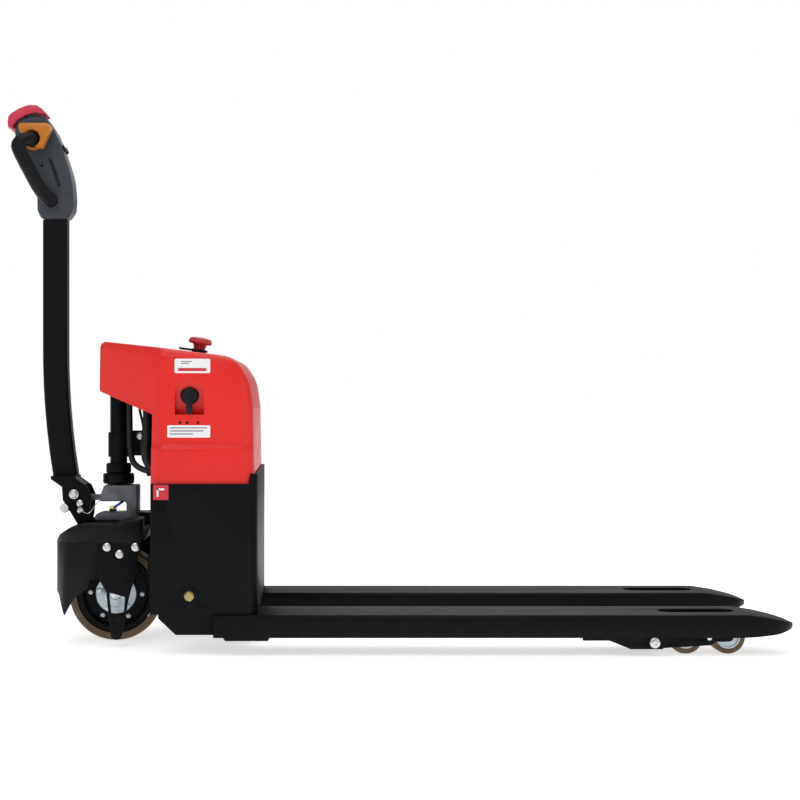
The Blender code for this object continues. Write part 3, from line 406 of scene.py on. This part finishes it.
def aimed(shape, place, direction):
    """Moves a shape that points along Z to a place, pointing in a direction."""
    turn = Vector((0, 0, 1)).rotation_difference(Vector(direction)).to_matrix().to_4x4()
    shape.transform(Matrix.Translation(place) @ turn)
    return shape


def slice_at(shape, axis, positions):
    """Adds a ring of edges at each position, so that the shape can be bent there."""
    for position in positions:
        point = [0, 0, 0]
        normal = [0, 0, 0]
        point[axis] = position
        normal[axis] = 1
        everything = shape.verts[:] + shape.edges[:] + shape.faces[:]
        bmesh.ops.bisect_plane(shape, geom=everything, plane_co=point, plane_no=normal)
    return shape


def smooth_path(points, steps):
    """Points on a Catmull-Rom curve through the given points."""
    padded = [Vector(points[0]) * 2 - Vector(points[1])]
    padded += [Vector(point) for point in points]
    padded.append(Vector(points[-1]) * 2 - Vector(points[-2]))
    made = []
    for a, b, c, d in zip(padded, padded[1:], padded[2:], padded[3:]):
        for i in range(steps):
            t = i / steps
            made.append(0.5 * (2 * b + (c - a) * t + (2 * a - 5 * b + 4 * c - d) * t ** 2
                               + (3 * b - a - 3 * c + d) * t ** 3))
    made.append(padded[-2])
    return made


# Pieces
def mesh_object(name, shape):
    """An object in the scene from a shape, which is used up."""
    mesh = bpy.data.meshes.new(name)
    shape.to_mesh(mesh)
    shape.free()
    made = bpy.data.objects.new(name, mesh)
    bpy.context.scene.collection.objects.link(made)
    return made


def piece(name, shape, material, body, smooth=38, replaces=()):
    """A finished piece from a shape, riding on a body."""
    made = mesh_object(name, shape)
    made.data.materials.append(MATERIALS[material])
    made.data.shade_smooth()
    made.data.set_sharp_from_angle(angle=math.radians(smooth))
    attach(made, body)
    if replaces:
        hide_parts(*replaces)
    return made


def soften(made, width, segments=2, angle=35):
    """Rounds an object's sharp edges with a bevel."""
    weld = made.modifiers.new("weld", "WELD")
    weld.merge_threshold = 1e-5
    bevel = made.modifiers.new("soften", "BEVEL")
    bevel.width = width
    bevel.segments = segments
    bevel.limit_method = "ANGLE"
    bevel.angle_limit = math.radians(angle)
    bevel.harden_normals = True
    bevel.use_clamp_overlap = True
    return made


def combine(made, shapes, operation):
    """Cuts shapes from an object, or joins them on, and applies the result at once."""
    tools = []
    for shape in shapes:
        tool = mesh_object("tool", shape)
        modifier = made.modifiers.new("combine", "BOOLEAN")
        modifier.operation = operation
        modifier.object = tool
        tools.append(tool)
    graph = bpy.context.evaluated_depsgraph_get()
    result = bpy.data.meshes.new_from_object(made.evaluated_get(graph))
    made.modifiers.clear()
    made.data = result
    result.shade_smooth()
    result.set_sharp_from_angle(angle=math.radians(32))
    for tool in tools:
        bpy.data.objects.remove(tool, do_unlink=True)
    return made


def cut(made, *shapes):
    """Takes shapes away from an object."""
    return combine(made, shapes, "DIFFERENCE")


def join(made, *shapes):
    """Adds shapes to an object."""
    return combine(made, shapes, "UNION")


def tube(name, points, radius, material, body, resolution=6, steps=6):
    """A round bar, wire or hose along a smooth path."""
    path = bpy.data.curves.new(name, "CURVE")
    path.dimensions = "3D"
    path.bevel_depth = radius
    path.bevel_resolution = resolution
    path.use_fill_caps = True
    spline = path.splines.new("POLY")
    points = smooth_path(points, steps)
    spline.points.add(len(points) - 1)
    for target, point in zip(spline.points, points):
        target.co = (*point, 1)
    spline.use_smooth = True
    path.materials.append(MATERIALS[material])
    made = bpy.data.objects.new(name, path)
    bpy.context.scene.collection.objects.link(made)
    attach(made, body)
    return made


def hex_bolt(name, place, direction, radius, body, material="zinc", height=None):
    """A hexagon head with a chamfered crown, on a washer."""
    height = height or radius * 0.75
    thick = radius * 0.22
    shape = turned([(0, thick), (radius, thick), (radius, thick + height * 0.80),
                    (radius * 0.86, thick + height), (0, thick + height * 1.03)], (0, 0, 0), "Z", 6)
    washer = turned([(0, -0.0002), (radius * 1.28, -0.0002), (radius * 1.28, thick * 0.8),
                     (radius * 1.18, thick), (0, thick)], (0, 0, 0), "Z", 32)
    mesh = bpy.data.meshes.new("washer")
    washer.to_mesh(mesh)
    washer.free()
    shape.from_mesh(mesh)
    return soften(piece(name, aimed(shape, place, direction), material, body, 30), radius * 0.05)


def dome_bolt(name, place, direction, radius, body, material="zinc"):
    """A button head with a round socket."""
    rise = radius * 0.55
    crown = [(radius * math.cos(math.radians(a)), rise * 0.35 + rise * 0.65 * math.sin(math.radians(a)))
             for a in (0, 15, 30, 45, 58)]
    shape = turned([(0, -0.0003), (radius, -0.0003)] + crown +
                   [(radius * 0.42, rise * 0.93), (radius * 0.38, rise * 0.35), (0, rise * 0.35)],
                   (0, 0, 0), "Z", 36)
    return piece(name, aimed(shape, place, direction), material, body, 30)


# CAD nodes that keep their shape
def dress_nodes():
    """Gives every kept CAD node its material, smooth shading and softened edges."""
    kept = {
        "frame_box": ("black_paint", 0.0012), "fork_left": ("black_paint", 0.0010),
        "fork_right": ("black_paint", 0.0010), "crosshead": ("black_paint", 0.0008),
        "yoke": ("black_paint", 0.0015), "pull_link_left": ("black_paint", 0.0010),
        "pull_link_right": ("black_paint", 0.0010), "drive_frame": ("black_paint", 0.0015),
        "side_guard_left": ("black_paint", 0.0008), "side_guard_right": ("black_paint", 0.0008),
        "tiller_bracket": ("black_paint", 0.0010), "tiller_tube": ("black_paint", 0.0),
        "load_arm_left": ("black_paint", 0.0008), "load_arm_right": ("black_paint", 0.0008),
        "bogie_left": ("black_paint", 0.0006), "bogie_right": ("black_paint", 0.0006),
        "steering_head": ("cast_iron", 0.0012),
        "tiller_pin": ("zinc", 0.0006), "wheel_axle": ("zinc", 0.0006),
        "arm_pin_left": ("zinc", 0.0005), "arm_pin_right": ("zinc", 0.0005),
        "bogie_pin_left": ("zinc", 0.0004), "bogie_pin_right": ("zinc", 0.0004),
        "push_rod_left": ("black_paint", 0.0008), "push_rod_right": ("black_paint", 0.0008),
        "rocker": ("black_paint", 0.0008), "piston_rod": ("chrome", 0.0),
        "gearbox": ("alloy", 0.0), "controller": ("alloy", 0.001), "traction_motor": ("dark_enamel", 0.0),
        "motor_brake": ("dark_enamel", 0.0), "pump_motor": ("dark_enamel", 0.0),
        "battery": ("battery_case", 0.0010), "hydraulic_tank": ("battery_case", 0.0010),
        "cylinder_tube": ("column_paint", 0.0), "lower_collar": ("column_paint", 0.0),
        "upper_collar": ("column_paint", 0.0), "cover": ("red_plastic", 0.0008),
        "head_shell_left": ("head_plastic", 0.0008), "head_shell_right": ("head_plastic", 0.0008),
        "fender_cap": ("fender_plastic", 0.0008), "fender_skirt": ("fender_plastic", 0.0006),
        "key_lock": ("black_plastic", 0.0005), "key": ("black_plastic", 0.0008),
        "estop_base": ("black_plastic", 0.0010), "estop_button": ("stop_red", 0.0),
        "lift_button": ("black_plastic", 0.0), "lower_button": ("black_plastic", 0.0),
        "horn_button": ("black_plastic", 0.0), "grip_left": ("grip_rubber", 0.0),
        "grip_right": ("grip_rubber", 0.0), "throttle_left": ("orange_plastic", 0.0020),
        "throttle_right": ("orange_plastic", 0.0020), "reverse_button": ("belly_red", 0.0010),
        "drive_tread": ("tread", 0.0), "drive_hub": ("black_paint", 0.0),
        "roller_rear_left": ("tread", 0.0), "roller_front_left": ("tread", 0.0),
        "roller_rear_right": ("tread", 0.0), "roller_front_right": ("tread", 0.0),
    }
    for name, (material, width) in kept.items():
        node = frame["nodes"][name]
        node.data.materials.clear()
        node.data.materials.append(MATERIALS[material])
        node.data.shade_smooth()
        node.data.set_sharp_from_angle(angle=math.radians(32))
        if width:
            soften(node, width)


# Camera, floor and light
def studio():
    """The camera, a white floor, four area lights and a white backdrop that only the camera sees in full."""
    camera = bpy.data.objects.new("camera", bpy.data.cameras.new("camera"))
    camera.location = CAMERA_PLACE
    camera.rotation_euler = (math.radians(90), 0, 0)
    camera.data.lens = CAMERA_LENS
    camera.data.shift_x, camera.data.shift_y = CAMERA_SHIFT
    bpy.context.scene.collection.objects.link(camera)
    bpy.context.scene.camera = camera

    floor = mesh_object("floor", block(*FLOOR_BOX))
    paper = Nodes("floor_paper", (0.93, 0.93, 0.93), 0.75)
    paper.base(paper.mottle(0.01, 0.5))
    paper.shader.inputs["Emission Color"].default_value = (1, 1, 1, 1)
    paper.shader.inputs["Emission Strength"].default_value = FLOOR_GLOW
    floor.data.materials.append(paper.material)

    for name, (place, size, power) in LIGHTS.items():
        data = bpy.data.lights.new(name, "AREA")
        data.size = size
        data.energy = power
        lamp = bpy.data.objects.new(name, data)
        lamp.location = place
        aim = Vector(LIGHT_TARGET) - Vector(place)
        lamp.rotation_euler = aim.to_track_quat("-Z", "Y").to_euler()
        bpy.context.scene.collection.objects.link(lamp)

    world = bpy.data.worlds.new("world")
    world.use_nodes = True
    tree = world.node_tree
    tree.nodes["Background"].inputs["Color"].default_value = (1, 1, 1, 1)
    tree.nodes["Background"].inputs["Strength"].default_value = WORLD_LIGHT
    backdrop = tree.nodes.new("ShaderNodeBackground")
    backdrop.inputs["Color"].default_value = (1, 1, 1, 1)
    backdrop.inputs["Strength"].default_value = BACKDROP_LIGHT
    seen = tree.nodes.new("ShaderNodeLightPath").outputs["Is Camera Ray"]
    mix = tree.nodes.new("ShaderNodeMixShader")
    tree.links.new(seen, mix.inputs["Fac"])
    tree.links.new(tree.nodes["Background"].outputs["Background"], mix.inputs[1])
    tree.links.new(backdrop.outputs["Background"], mix.inputs[2])
    tree.links.new(mix.outputs["Shader"], tree.nodes["World Output"].inputs["Surface"])
    bpy.context.scene.world = world
    bpy.context.scene.view_settings.view_transform = "Standard"


# Cover
def rimmed(corners, radii, half_width, rim, held=None, steps=8):
    """Rounded corners swept across, with quarter-round rims. A held corner moves its own way at the rims."""
    sections = []
    for side in (-1, 1):
        angles = [math.radians(90 * i / steps) for i in range(steps + 1)]
        if side < 0:
            angles.reverse()
        for angle in angles:
            y = side * (half_width - rim + rim * math.sin(angle))
            depth = rim * (1 - math.cos(angle))
            shrunk = [max(radius - depth, 0.0015) if radius else 0 for radius in radii]
            moved = inset_outline(corners, depth)
            for place, way in (held or {}).items():
                moved[place] = (corners[place][0] + way[0] * depth, corners[place][1] + way[1] * depth)
            sections.append([(x, y, z) for x, z in rounded(moved, shrunk, 9)])
    return loft(sections)


def smooth_step(value, low, high):
    """0 below the low value, 1 above the high value and a smooth S between them."""
    t = min(max((value - low) / (high - low), 0.0), 1.0)
    return t * t * (3 - 2 * t)


def cover_form(corners, radii, half_width, rim, held=None):
    """The cover's outer or inner form, narrow at the nose and flared below the ridge."""
    shape = rimmed(corners, radii, half_width, rim, held)
    slice_at(shape, 0, [-0.470, -0.478, -0.484, -0.490, -0.496, -0.502, -0.508,
                        -0.516, -0.526, -0.540, -0.600])
    slice_at(shape, 2, [0.4340, 0.4370, 0.4400, 0.4430, 0.4460, 0.4490, 0.4520])
    for vertex in shape.verts:
        ahead = max(0.0, -0.488 - vertex.co.x)
        narrow = math.hypot(ahead, 0.010) - 0.010
        vertex.co.y *= 1 - narrow / 0.262
        flare = 0.0054 * (1 - smooth_step(vertex.co.z, 0.4360, 0.4490))
        if abs(vertex.co.y) > 0.2:
            vertex.co.y += math.copysign(flare, vertex.co.y)
    return shape


def red_cover():
    """The moulded cover: a smooth shell with a niche for the key and a hole for the emergency stop."""
    floor_z = COVER_FOOT - 0.0030
    half = 0.2613
    wall = 0.0035
    inner_floor_z = 0.3000
    niche_top = 0.5850
    niche_bottom = 0.5105
    niche_radius = 0.0310
    niche_wall = 0.0060
    niche_slope = 0.33
    outline = [(-0.5160, floor_z), (-0.5125, 0.5110), (-0.6415, 0.5610), (-0.6400, 0.6710),
               (-0.3880, 0.6400), (-0.3370, 0.6330), (-0.3055, 0.5850), (-0.2970, 0.5250),
               (-0.2945, floor_z)]
    radii = [0, 0.006, 0.005, 0.016, 0.05, 0.06, 0.09, 0.06, 0]
    held = {0: (-1, 0), 6: (1, -0.3876), 7: (0, 0), 8: (0, 0)}
    outer = cover_form(outline[::-1], radii[::-1], half, 0.021, held)
    made = piece("cover_shell", outer, "red_plastic", "chassis", 32, ["cover"])
    inside = [(-0.6415, inner_floor_z)] + outline[3:-1] + [(-0.2935, inner_floor_z)]
    inner = inset_outline(inside[::-1], wall)
    inner_radii = [0] + [max(radius - wall, 0.002) for radius in radii[3:-1]] + [0]
    cut(made, cover_form(inner, inner_radii[::-1], half - wall, 0.018))
    crown = (KEY.x, niche_top - 0.0330)
    solid_radius = niche_radius + niche_wall
    solid_bottom = niche_bottom - niche_wall
    arch = [(KEY.x - niche_radius, niche_bottom), (KEY.x + niche_radius, niche_bottom)]
    arch += arc(crown, niche_radius, 0, 180, 24)
    plug = [(KEY.x - solid_radius, solid_bottom), (KEY.x + solid_radius, solid_bottom)]
    plug += arc(crown, solid_radius, 0, 180, 24)
    join(made, prism(plug, -half + 0.001, -0.2240))
    niche = prism(arch, -0.30, -0.2450)
    for vertex in niche.verts:
        if vertex.co.y > -0.25:
            vertex.co.y = -half - 0.0010 + (niche_top - vertex.co.z) * niche_slope
    lock = Vector((KEY.x, 0, KEY.z))
    barrel = aimed(rod((0, 0, 0), 0.0163, -0.06, 0.06, "Z", 40), centre("estop_base"), ESTOP_AXIS)
    cut(made, niche, rod(lock, 0.0173, -0.30, -0.2200, "Y", 40), barrel)
    soften(made, 0.0010, 2, 40)
    lip = [(0.0170, -half + 0.0130), (0.0195, -half + 0.0130), (0.0200, -half + 0.0070),
           (0.0190, -half + 0.0055), (0.0172, -half + 0.0055)]
    piece("key_bezel", turned(lip, lock, "Y", 48), "black_plastic", "chassis", 40)


# Tiller head
def keep_side(shape, side):
    """Cuts a shape along the middle plane, keeps one side and closes the cut."""
    everything = shape.verts[:] + shape.edges[:] + shape.faces[:]
    bmesh.ops.bisect_plane(shape, geom=everything, plane_co=(0, side * 0.0003, 0), plane_no=(0, -side, 0),
                           clear_outer=True)
    rim = [edge for edge in shape.edges if len(edge.link_faces) == 1]
    bmesh.ops.contextual_create(shape, geom=rim)
    bmesh.ops.recalc_face_normals(shape, faces=shape.faces)
    return shape


def head_form():
    """The head's soft form: round rims, a narrower foot and a slight waist."""
    outline = [(-0.783, 0.9495), (-0.7245, 0.9495), (-0.7110, 0.9680), (-0.7100, 0.9950), (-0.7135, 1.0425),
               (-0.7375, 1.1175), (-0.7520, 1.1480), (-0.7720, 1.1785), (-0.7980, 1.1840), (-0.8270, 1.1775),
               (-0.8400, 1.1620), (-0.8430, 1.1400), (-0.8260, 1.1000), (-0.8060, 1.0500), (-0.7925, 1.0100),
               (-0.7925, 0.9680)]
    radii = [0.012, 0.015, 0.03, 0.06, 0.2, 0.2, 0.1, 0.012, 0.03, 0.015, 0.02, 0.03, 0.2, 0.2, 0.08, 0.02]
    shape = rimmed(outline, radii, HEAD_HALF, 0.012, None, 7)
    slice_at(shape, 2, [0.960, 0.970, 0.980, 0.990, 1.000, 1.010, 1.020])
    for vertex in shape.verts:
        vertex.co.y *= 1 - 0.25 * (1 - smooth_step(vertex.co.z, 0.945, 1.015))
    return shape


def tiller_head():
    """Both half shells, each with its neck for the red button, its slot and its button holes."""
    neck = [(-0.862, 1.1500), (-0.8460, 1.1490), (-0.8320, 1.1640), (-0.8110, 1.1750), (-0.7910, 1.1790),
            (-0.7740, 1.1760), (-0.7600, 1.1700), (-0.7600, 1.2200), (-0.8800, 1.2200)]
    slot_ends = ((-0.7605, 1.0800), (-0.7415, 1.0245))
    slot = slot_outline(*slot_ends, 0.0046, 8)
    rail = slot_outline(*slot_ends, 0.0026, 8)
    screws = ((-0.7460, HEAD_HALF * 0.86, 0.9760), (-0.7800, HEAD_HALF - 0.0004, 1.0680))
    neck_half = 0.0330
    beyond = 0.0600
    slot_depth = 0.0022
    for label, side in (("left", 1), ("right", -1)):
        made = piece(f"head_shell_{label}_fine", keep_side(head_form(), side), "head_plastic", "tiller", 34,
                     [f"head_shell_{label}"])
        tools = [prism(neck, *sorted((side * neck_half, side * beyond))),
                 prism(slot, *sorted((side * (HEAD_HALF - slot_depth), side * beyond)))]
        for button in ("lift_button", "lower_button", "horn_button"):
            if centre(button).y * side > -0.001:
                hole = rod((0, 0, 0), 0.0088, -0.012, 0.03, "Z", 28)
                tools.append(aimed(hole, centre(button), FACE_NORMAL))
        cut(made, *tools)
        soften(made, 0.0008, 2, 40)
        near, far = sorted((side * (HEAD_HALF - 0.0024), side * (HEAD_HALF - 0.0008)))
        piece(f"head_slot_rail_{label}", prism(rail, near, far), "black_plastic", "tiller", 40)
        for i, (x, y, z) in enumerate(screws):
            dome_bolt(f"head_screw_{label}_{i}", Vector((x, side * y, z)), (0, side, 0), 0.0030, "tiller",
                      "column_paint")
        foot = [(0.0162, 0.0), (0.0212, 0.0), (0.0205, 0.0040), (0.0162, 0.0050)]
        boss = turned([(radius, side * (HEAD_HALF - 0.0085 + height)) for radius, height in foot],
                      Vector((-0.7600, 0, 0.9900)), "Y", 40)
        piece(f"grip_foot_{label}", boss, "head_plastic", "tiller", 35)


# Drive wheel and load rollers
def bolt_circle(count, radius, y, first):
    """Evenly spaced places round the drive wheel's axle, from a first angle in degrees."""
    return [WHEEL + Vector((x, y, z)) for x, z in arc((0, 0), radius, first, first + 360, count)[:count]]


def drive_wheel():
    """Tread with soft shoulders, a dished black hub and a galvanised plate with its bolts."""
    w = WHEEL_HALF
    shoulder = arc((WHEEL_SHOULDER, w - SHOULDER_RADIUS), SHOULDER_RADIUS, 90, 10, 4)
    profile = [(0.0888, w)] + shoulder + [(WHEEL_RADIUS, w - 0.010), (WHEEL_RADIUS, 0.010 - w)]
    profile += [(radius, -y) for radius, y in reversed(shoulder)] + [(0.0888, -w)]
    piece("drive_tread_fine", turned(profile, WHEEL, "Y", 128), "tread", "drive_wheel", 30,
          ["drive_tread"])
    hub = [(0.0129, -0.0400), (0.0272, -0.0400), (0.0280, -0.0392), (0.0290, -0.0300), (0.0300, -0.0250),
           (0.0640, -0.0215), (0.0690, -0.0225), (0.0735, -0.0320), (0.0755, -0.0338), (0.0870, -0.0340),
           (0.0880, -0.0330), (0.0880, 0.0330), (0.0870, 0.0340), (0.0755, 0.0338), (0.0735, 0.0320),
           (0.0690, 0.0120), (0.0300, 0.0120), (0.0290, 0.0330), (0.0280, 0.0340), (0.0129, 0.0340)]
    piece("drive_hub_fine", turned(hub, WHEEL, "Y", 128), "column_paint", "drive_wheel", 30,
          ["drive_hub"])
    plate = [(0.0132, -0.0412), (0.0260, -0.0412), (0.0275, -0.0404), (0.0300, -0.0330), (0.0320, -0.0315),
             (0.0445, -0.0315), (0.0460, -0.0300), (0.0460, -0.0240), (0.0285, -0.0240), (0.0285, -0.0402),
             (0.0132, -0.0402)]
    piece("drive_hub_plate", turned(plate, WHEEL, "Y", 96), "galvanised", "drive_wheel", 30)
    for i, spot in enumerate(bolt_circle(5, 0.0375, -0.0315, 25.2)):
        hex_bolt(f"hub_bolt_{i}", spot, (0, -1, 0), 0.0042, "drive_wheel")
    for i, spot in enumerate(bolt_circle(6, 0.0585, -0.0220, -62)):
        dome_bolt(f"rim_bolt_{i}", spot, (0, -1, 0), 0.0060, "drive_wheel", "galvanised")


def load_rollers():
    """Rollers with a urethane tread, a zinc side plate and a bearing seal."""
    w = ROLLER_HALF
    edge_radius = 0.004
    for side in ("left", "right"):
        for place in ("front", "rear"):
            name = f"roller_{place}_{side}"
            middle = centre(name)
            edge = arc((ROLLER_RADIUS - edge_radius, w - edge_radius), edge_radius, 90, 0, 3)
            tread = [(0.0262, w - 0.0004)] + edge + [(radius, -y) for radius, y in reversed(edge)]
            tread += [(0.0262, 0.0004 - w)]
            piece(f"{name}_tread", turned(tread, middle, "Y", 72), "tread", name, 30, [name])
            for end in (-1, 1):
                face = [(0.0092, end * (w - 0.0002)), (0.0150, end * (w - 0.0002)),
                        (0.0158, end * (w - 0.0030)), (0.0215, end * (w - 0.0030)),
                        (0.0225, end * (w - 0.0006)), (0.0258, end * (w - 0.0006)),
                        (0.0262, end * (w - 0.0010)), (0.0262, end * (w - 0.0060)),
                        (0.0092, end * (w - 0.0060))]
                piece(f"{name}_hub_{'near' if end < 0 else 'far'}", turned(face, middle, "Y", 56),
                      "galvanised", name, 30)


# Fasteners, labels and small fittings
def fasteners():
    """The bolts of the side guards and the tiller bracket, and the heads of the load arm pins."""
    arm = pivot("arm_left_turn")
    for side, label in ((-1, "right"), (1, "left")):
        out = (0, side, 0)
        for i, (x, z) in enumerate(GUARD_BOLTS):
            dome_bolt(f"guard_bolt_{label}_{i}", Vector((x, side * GUARD_OUT, z)), out, 0.0098, "drive_unit")
        hex_bolt(f"bracket_bolt_{label}", Vector((-0.708, side * BRACKET_FACE, 0.329)), out, 0.0085, "tiller")
        dome_bolt(f"bracket_pin_{label}", Vector((TILLER.x, side * TILLER_PIN_END, TILLER.z)), out, 0.0084,
                  "drive_unit")
        dome_bolt(f"bracket_low_pin_{label}", Vector((TILLER.x, side * BRACKET_FACE, 0.293)), out, 0.0078,
                  "tiller")
        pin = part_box(f"arm_pin_{label}")
        end = pin[0].y if side < 0 else pin[1].y
        dome_bolt(f"arm_pin_head_{label}", Vector((arm.x, end, arm.z)), out, 0.0112, "chassis")


def frame_details():
    """The rocker bolt in its ring, the caps of the bracket's bosses, the red square, and a near-black disc in
    the sight hole as painted shade.
    """
    shaft = pivot("rocker_turn")
    boss = Vector((BRACKET_BOSS[0], 0, BRACKET_BOSS[1]))
    for side, label in ((-1, "right"), (1, "left")):
        face = side * FRAME_HIGH.y
        ring = [(0.0112, face), (0.0112, face + side * 0.0012), (0.0150, face + side * 0.0020),
                (0.0190, face + side * 0.0020), (0.0212, face + side * 0.0006), (0.0214, face)]
        piece(f"rocker_ring_{label}", turned(ring, Vector((shaft.x, 0, shaft.z)), "Y", 64),
              "black_paint", "chassis")
        end = side * (ROCKER_END - 0.0015)
        hex_bolt(f"rocker_bolt_{label}", Vector((shaft.x, end, shaft.z)), (0, side, 0), 0.0085,
                 "rocker", "brass", 0.0035)
    for side, label in ((-1, "right"), (1, "left")):
        end = side * BOSS_END
        cap = [(0.0, end), (0.0100, end), (0.0100, end + side * 0.0008), (0.0090, end + side * 0.0016),
               (0.0, end + side * 0.0016)]
        piece(f"bracket_boss_cap_{label}", turned(cap, boss, "Y", 40), "zinc", "tiller", 30)
    face = FRAME_LOW.y
    # A near-black disc at the bottom of the shallow sight hole: painted shade that stands in for the hole's
    # dark depth
    hole = rod(Vector((-0.491, 0, 0.319)), 0.0099, face + 0.0030, face + 0.0034, "Y", 40)
    piece("sight_hole_painted_shade", hole, "hole_painted_shade", "chassis")
    square = rounded(upright_box((-0.508, 0.3305), (-0.4755, 0.3625)), 0.002)
    piece("warning_square", prism(square, face - 0.0006, face - 0.0001), "label_red", "chassis")
    corner = (-0.4985, 0.3530)
    for name, start, end in (("stem", (corner[0], 0.3390), corner), ("bar", corner, (-0.4860, corner[1]))):
        stroke = prism(slot_outline(start, end, 0.0020, 6), face - 0.0009, face - 0.0005)
        piece(f"warning_mark_{name}", stroke, "label_white", "chassis")


def label_plate(name, low, high, bars):
    """A white label with plain bars, each given by its start, end, height, half thickness and material."""
    plate = rounded(upright_box(low, high), LABEL_CORNER)
    piece(name, prism(plate, LABEL_FACE - 0.0005, LABEL_FACE + 0.0004), "label_white", "chassis")
    for row, (start, end, z, half, material) in enumerate(bars):
        bar = upright_box((start, z - half), (end, z + half))
        piece(f"{name}_bar_{row}", prism(bar, LABEL_FACE - 0.0008, LABEL_FACE - 0.0004), material, "chassis")


def labels():
    """Two white labels with plain grey and red bars, and three small dots under the key."""
    lower_ends = (-0.3950, -0.4020, -0.4250)
    label_plate("lower_label", (-0.4790, 0.4620), (-0.3880, 0.4880),
                [(-0.4730, end, 0.4825 - row * 0.0065, 0.0013, "label_grey")
                 for row, end in enumerate(lower_ends)])
    label_plate("upper_label", (-0.4635, 0.5985), (-0.3880, 0.6290),
                [(-0.4500, -0.4270, 0.6230, 0.0010, "label_grey"),
                 (-0.4500, -0.4330, 0.6190, 0.0010, "label_grey"),
                 (-0.4560, -0.3960, 0.6060, 0.0032, "label_red")])
    for i, x in enumerate((-0.4520, -0.4370, -0.4140)):
        dome_bolt(f"cover_dot_{i}", Vector((x, LABEL_FACE + 0.0004, 0.4935)), (0, -1, 0), 0.0030, "chassis",
                  "black_plastic")


def hoses_and_cables():
    """Hoses and cables between the column and the box, and the small fittings in the steering head."""
    runs = {
        "pressure_hose": ([(-0.600, -0.034, 0.600), (-0.585, -0.037, 0.570), (-0.5830, -0.038, 0.500),
                           (-0.5810, -0.038, 0.430), (-0.5700, -0.042, 0.396), (-0.530, -0.050, 0.380),
                           (-0.440, -0.055, 0.376)], 0.0068),
        "return_hose": ([(-0.560, 0.034, 0.600), (-0.5500, 0.040, 0.530), (-0.5460, 0.042, 0.470),
                         (-0.5480, 0.042, 0.415), (-0.530, 0.046, 0.384), (-0.440, 0.050, 0.376)], 0.0080),
        "motor_cable": ([(-0.552, -0.060, 0.600), (-0.5430, -0.070, 0.540), (-0.5400, -0.074, 0.470),
                         (-0.5420, -0.074, 0.420), (-0.526, -0.074, 0.388), (-0.440, -0.080, 0.380)], 0.0088),
        "sensor_cable": ([(-0.566, -0.020, 0.600), (-0.5600, -0.048, 0.525), (-0.5500, -0.060, 0.480),
                          (-0.5530, -0.060, 0.430), (-0.536, -0.060, 0.392),
                          (-0.440, -0.064, 0.385)], 0.0030),
    }
    for name, (points, radius) in runs.items():
        tube(name, points, radius, "hose_rubber", "chassis", 5, 8)
    clip = rounded(upright_box((-0.5900, 0.4350), (-0.5480, 0.4720)), 0.006)
    piece("hose_clip_plate", prism(clip, -0.0160, -0.0124), "black_paint", "column")
    hex_bolt("hose_clip_bolt", Vector((-0.562, -0.0160, 0.460)), (0, -1, 0), 0.0065, "column")
    panel = block((-0.5540, 0.0570, 0.3650), (-0.5360, 0.0600, 0.5450))
    piece("wiring_panel", panel, "black_plastic", "chassis", 30)
    tube("steering_cable", [(-0.600, -0.020, 0.3120), (-0.6080, -0.0340, 0.3060), (-0.6180, -0.0330, 0.2990),
                            (-0.6200, -0.0300, 0.2880)], 0.0030, "blue_cable", "drive_unit", 5, 8)
    plug = turned([(0, -0.0100), (0.0075, -0.0100), (0.0075, -0.0010), (0.0055, 0.0), (0.0055, 0.0060),
                   (0, 0.0060)], Vector((-0.6190, -0.0300, 0.2960)), "X", 6)
    piece("brass_plug", plug, "brass", "drive_unit", 30)
    plate = block((-0.6360, -0.0330, 0.2832), (-0.6020, -0.0180, 0.2858))
    piece("plug_plate", plate, "zinc", "drive_unit", 30)
    wire = [(-0.6960, -0.0440, 0.2990), (-0.6800, -0.0450, 0.2860), (-0.6700, -0.0430, 0.2900),
            (-0.6600, -0.0400, 0.3050), (-0.6500, -0.0360, 0.3160)]
    tube("tiller_spring_wire", wire, 0.0011, "chrome", "tiller", 4, 8)


red_cover()
tiller_head()
drive_wheel()
load_rollers()
fasteners()
frame_details()
labels()
hoses_and_cables()
studio()
dress_nodes()
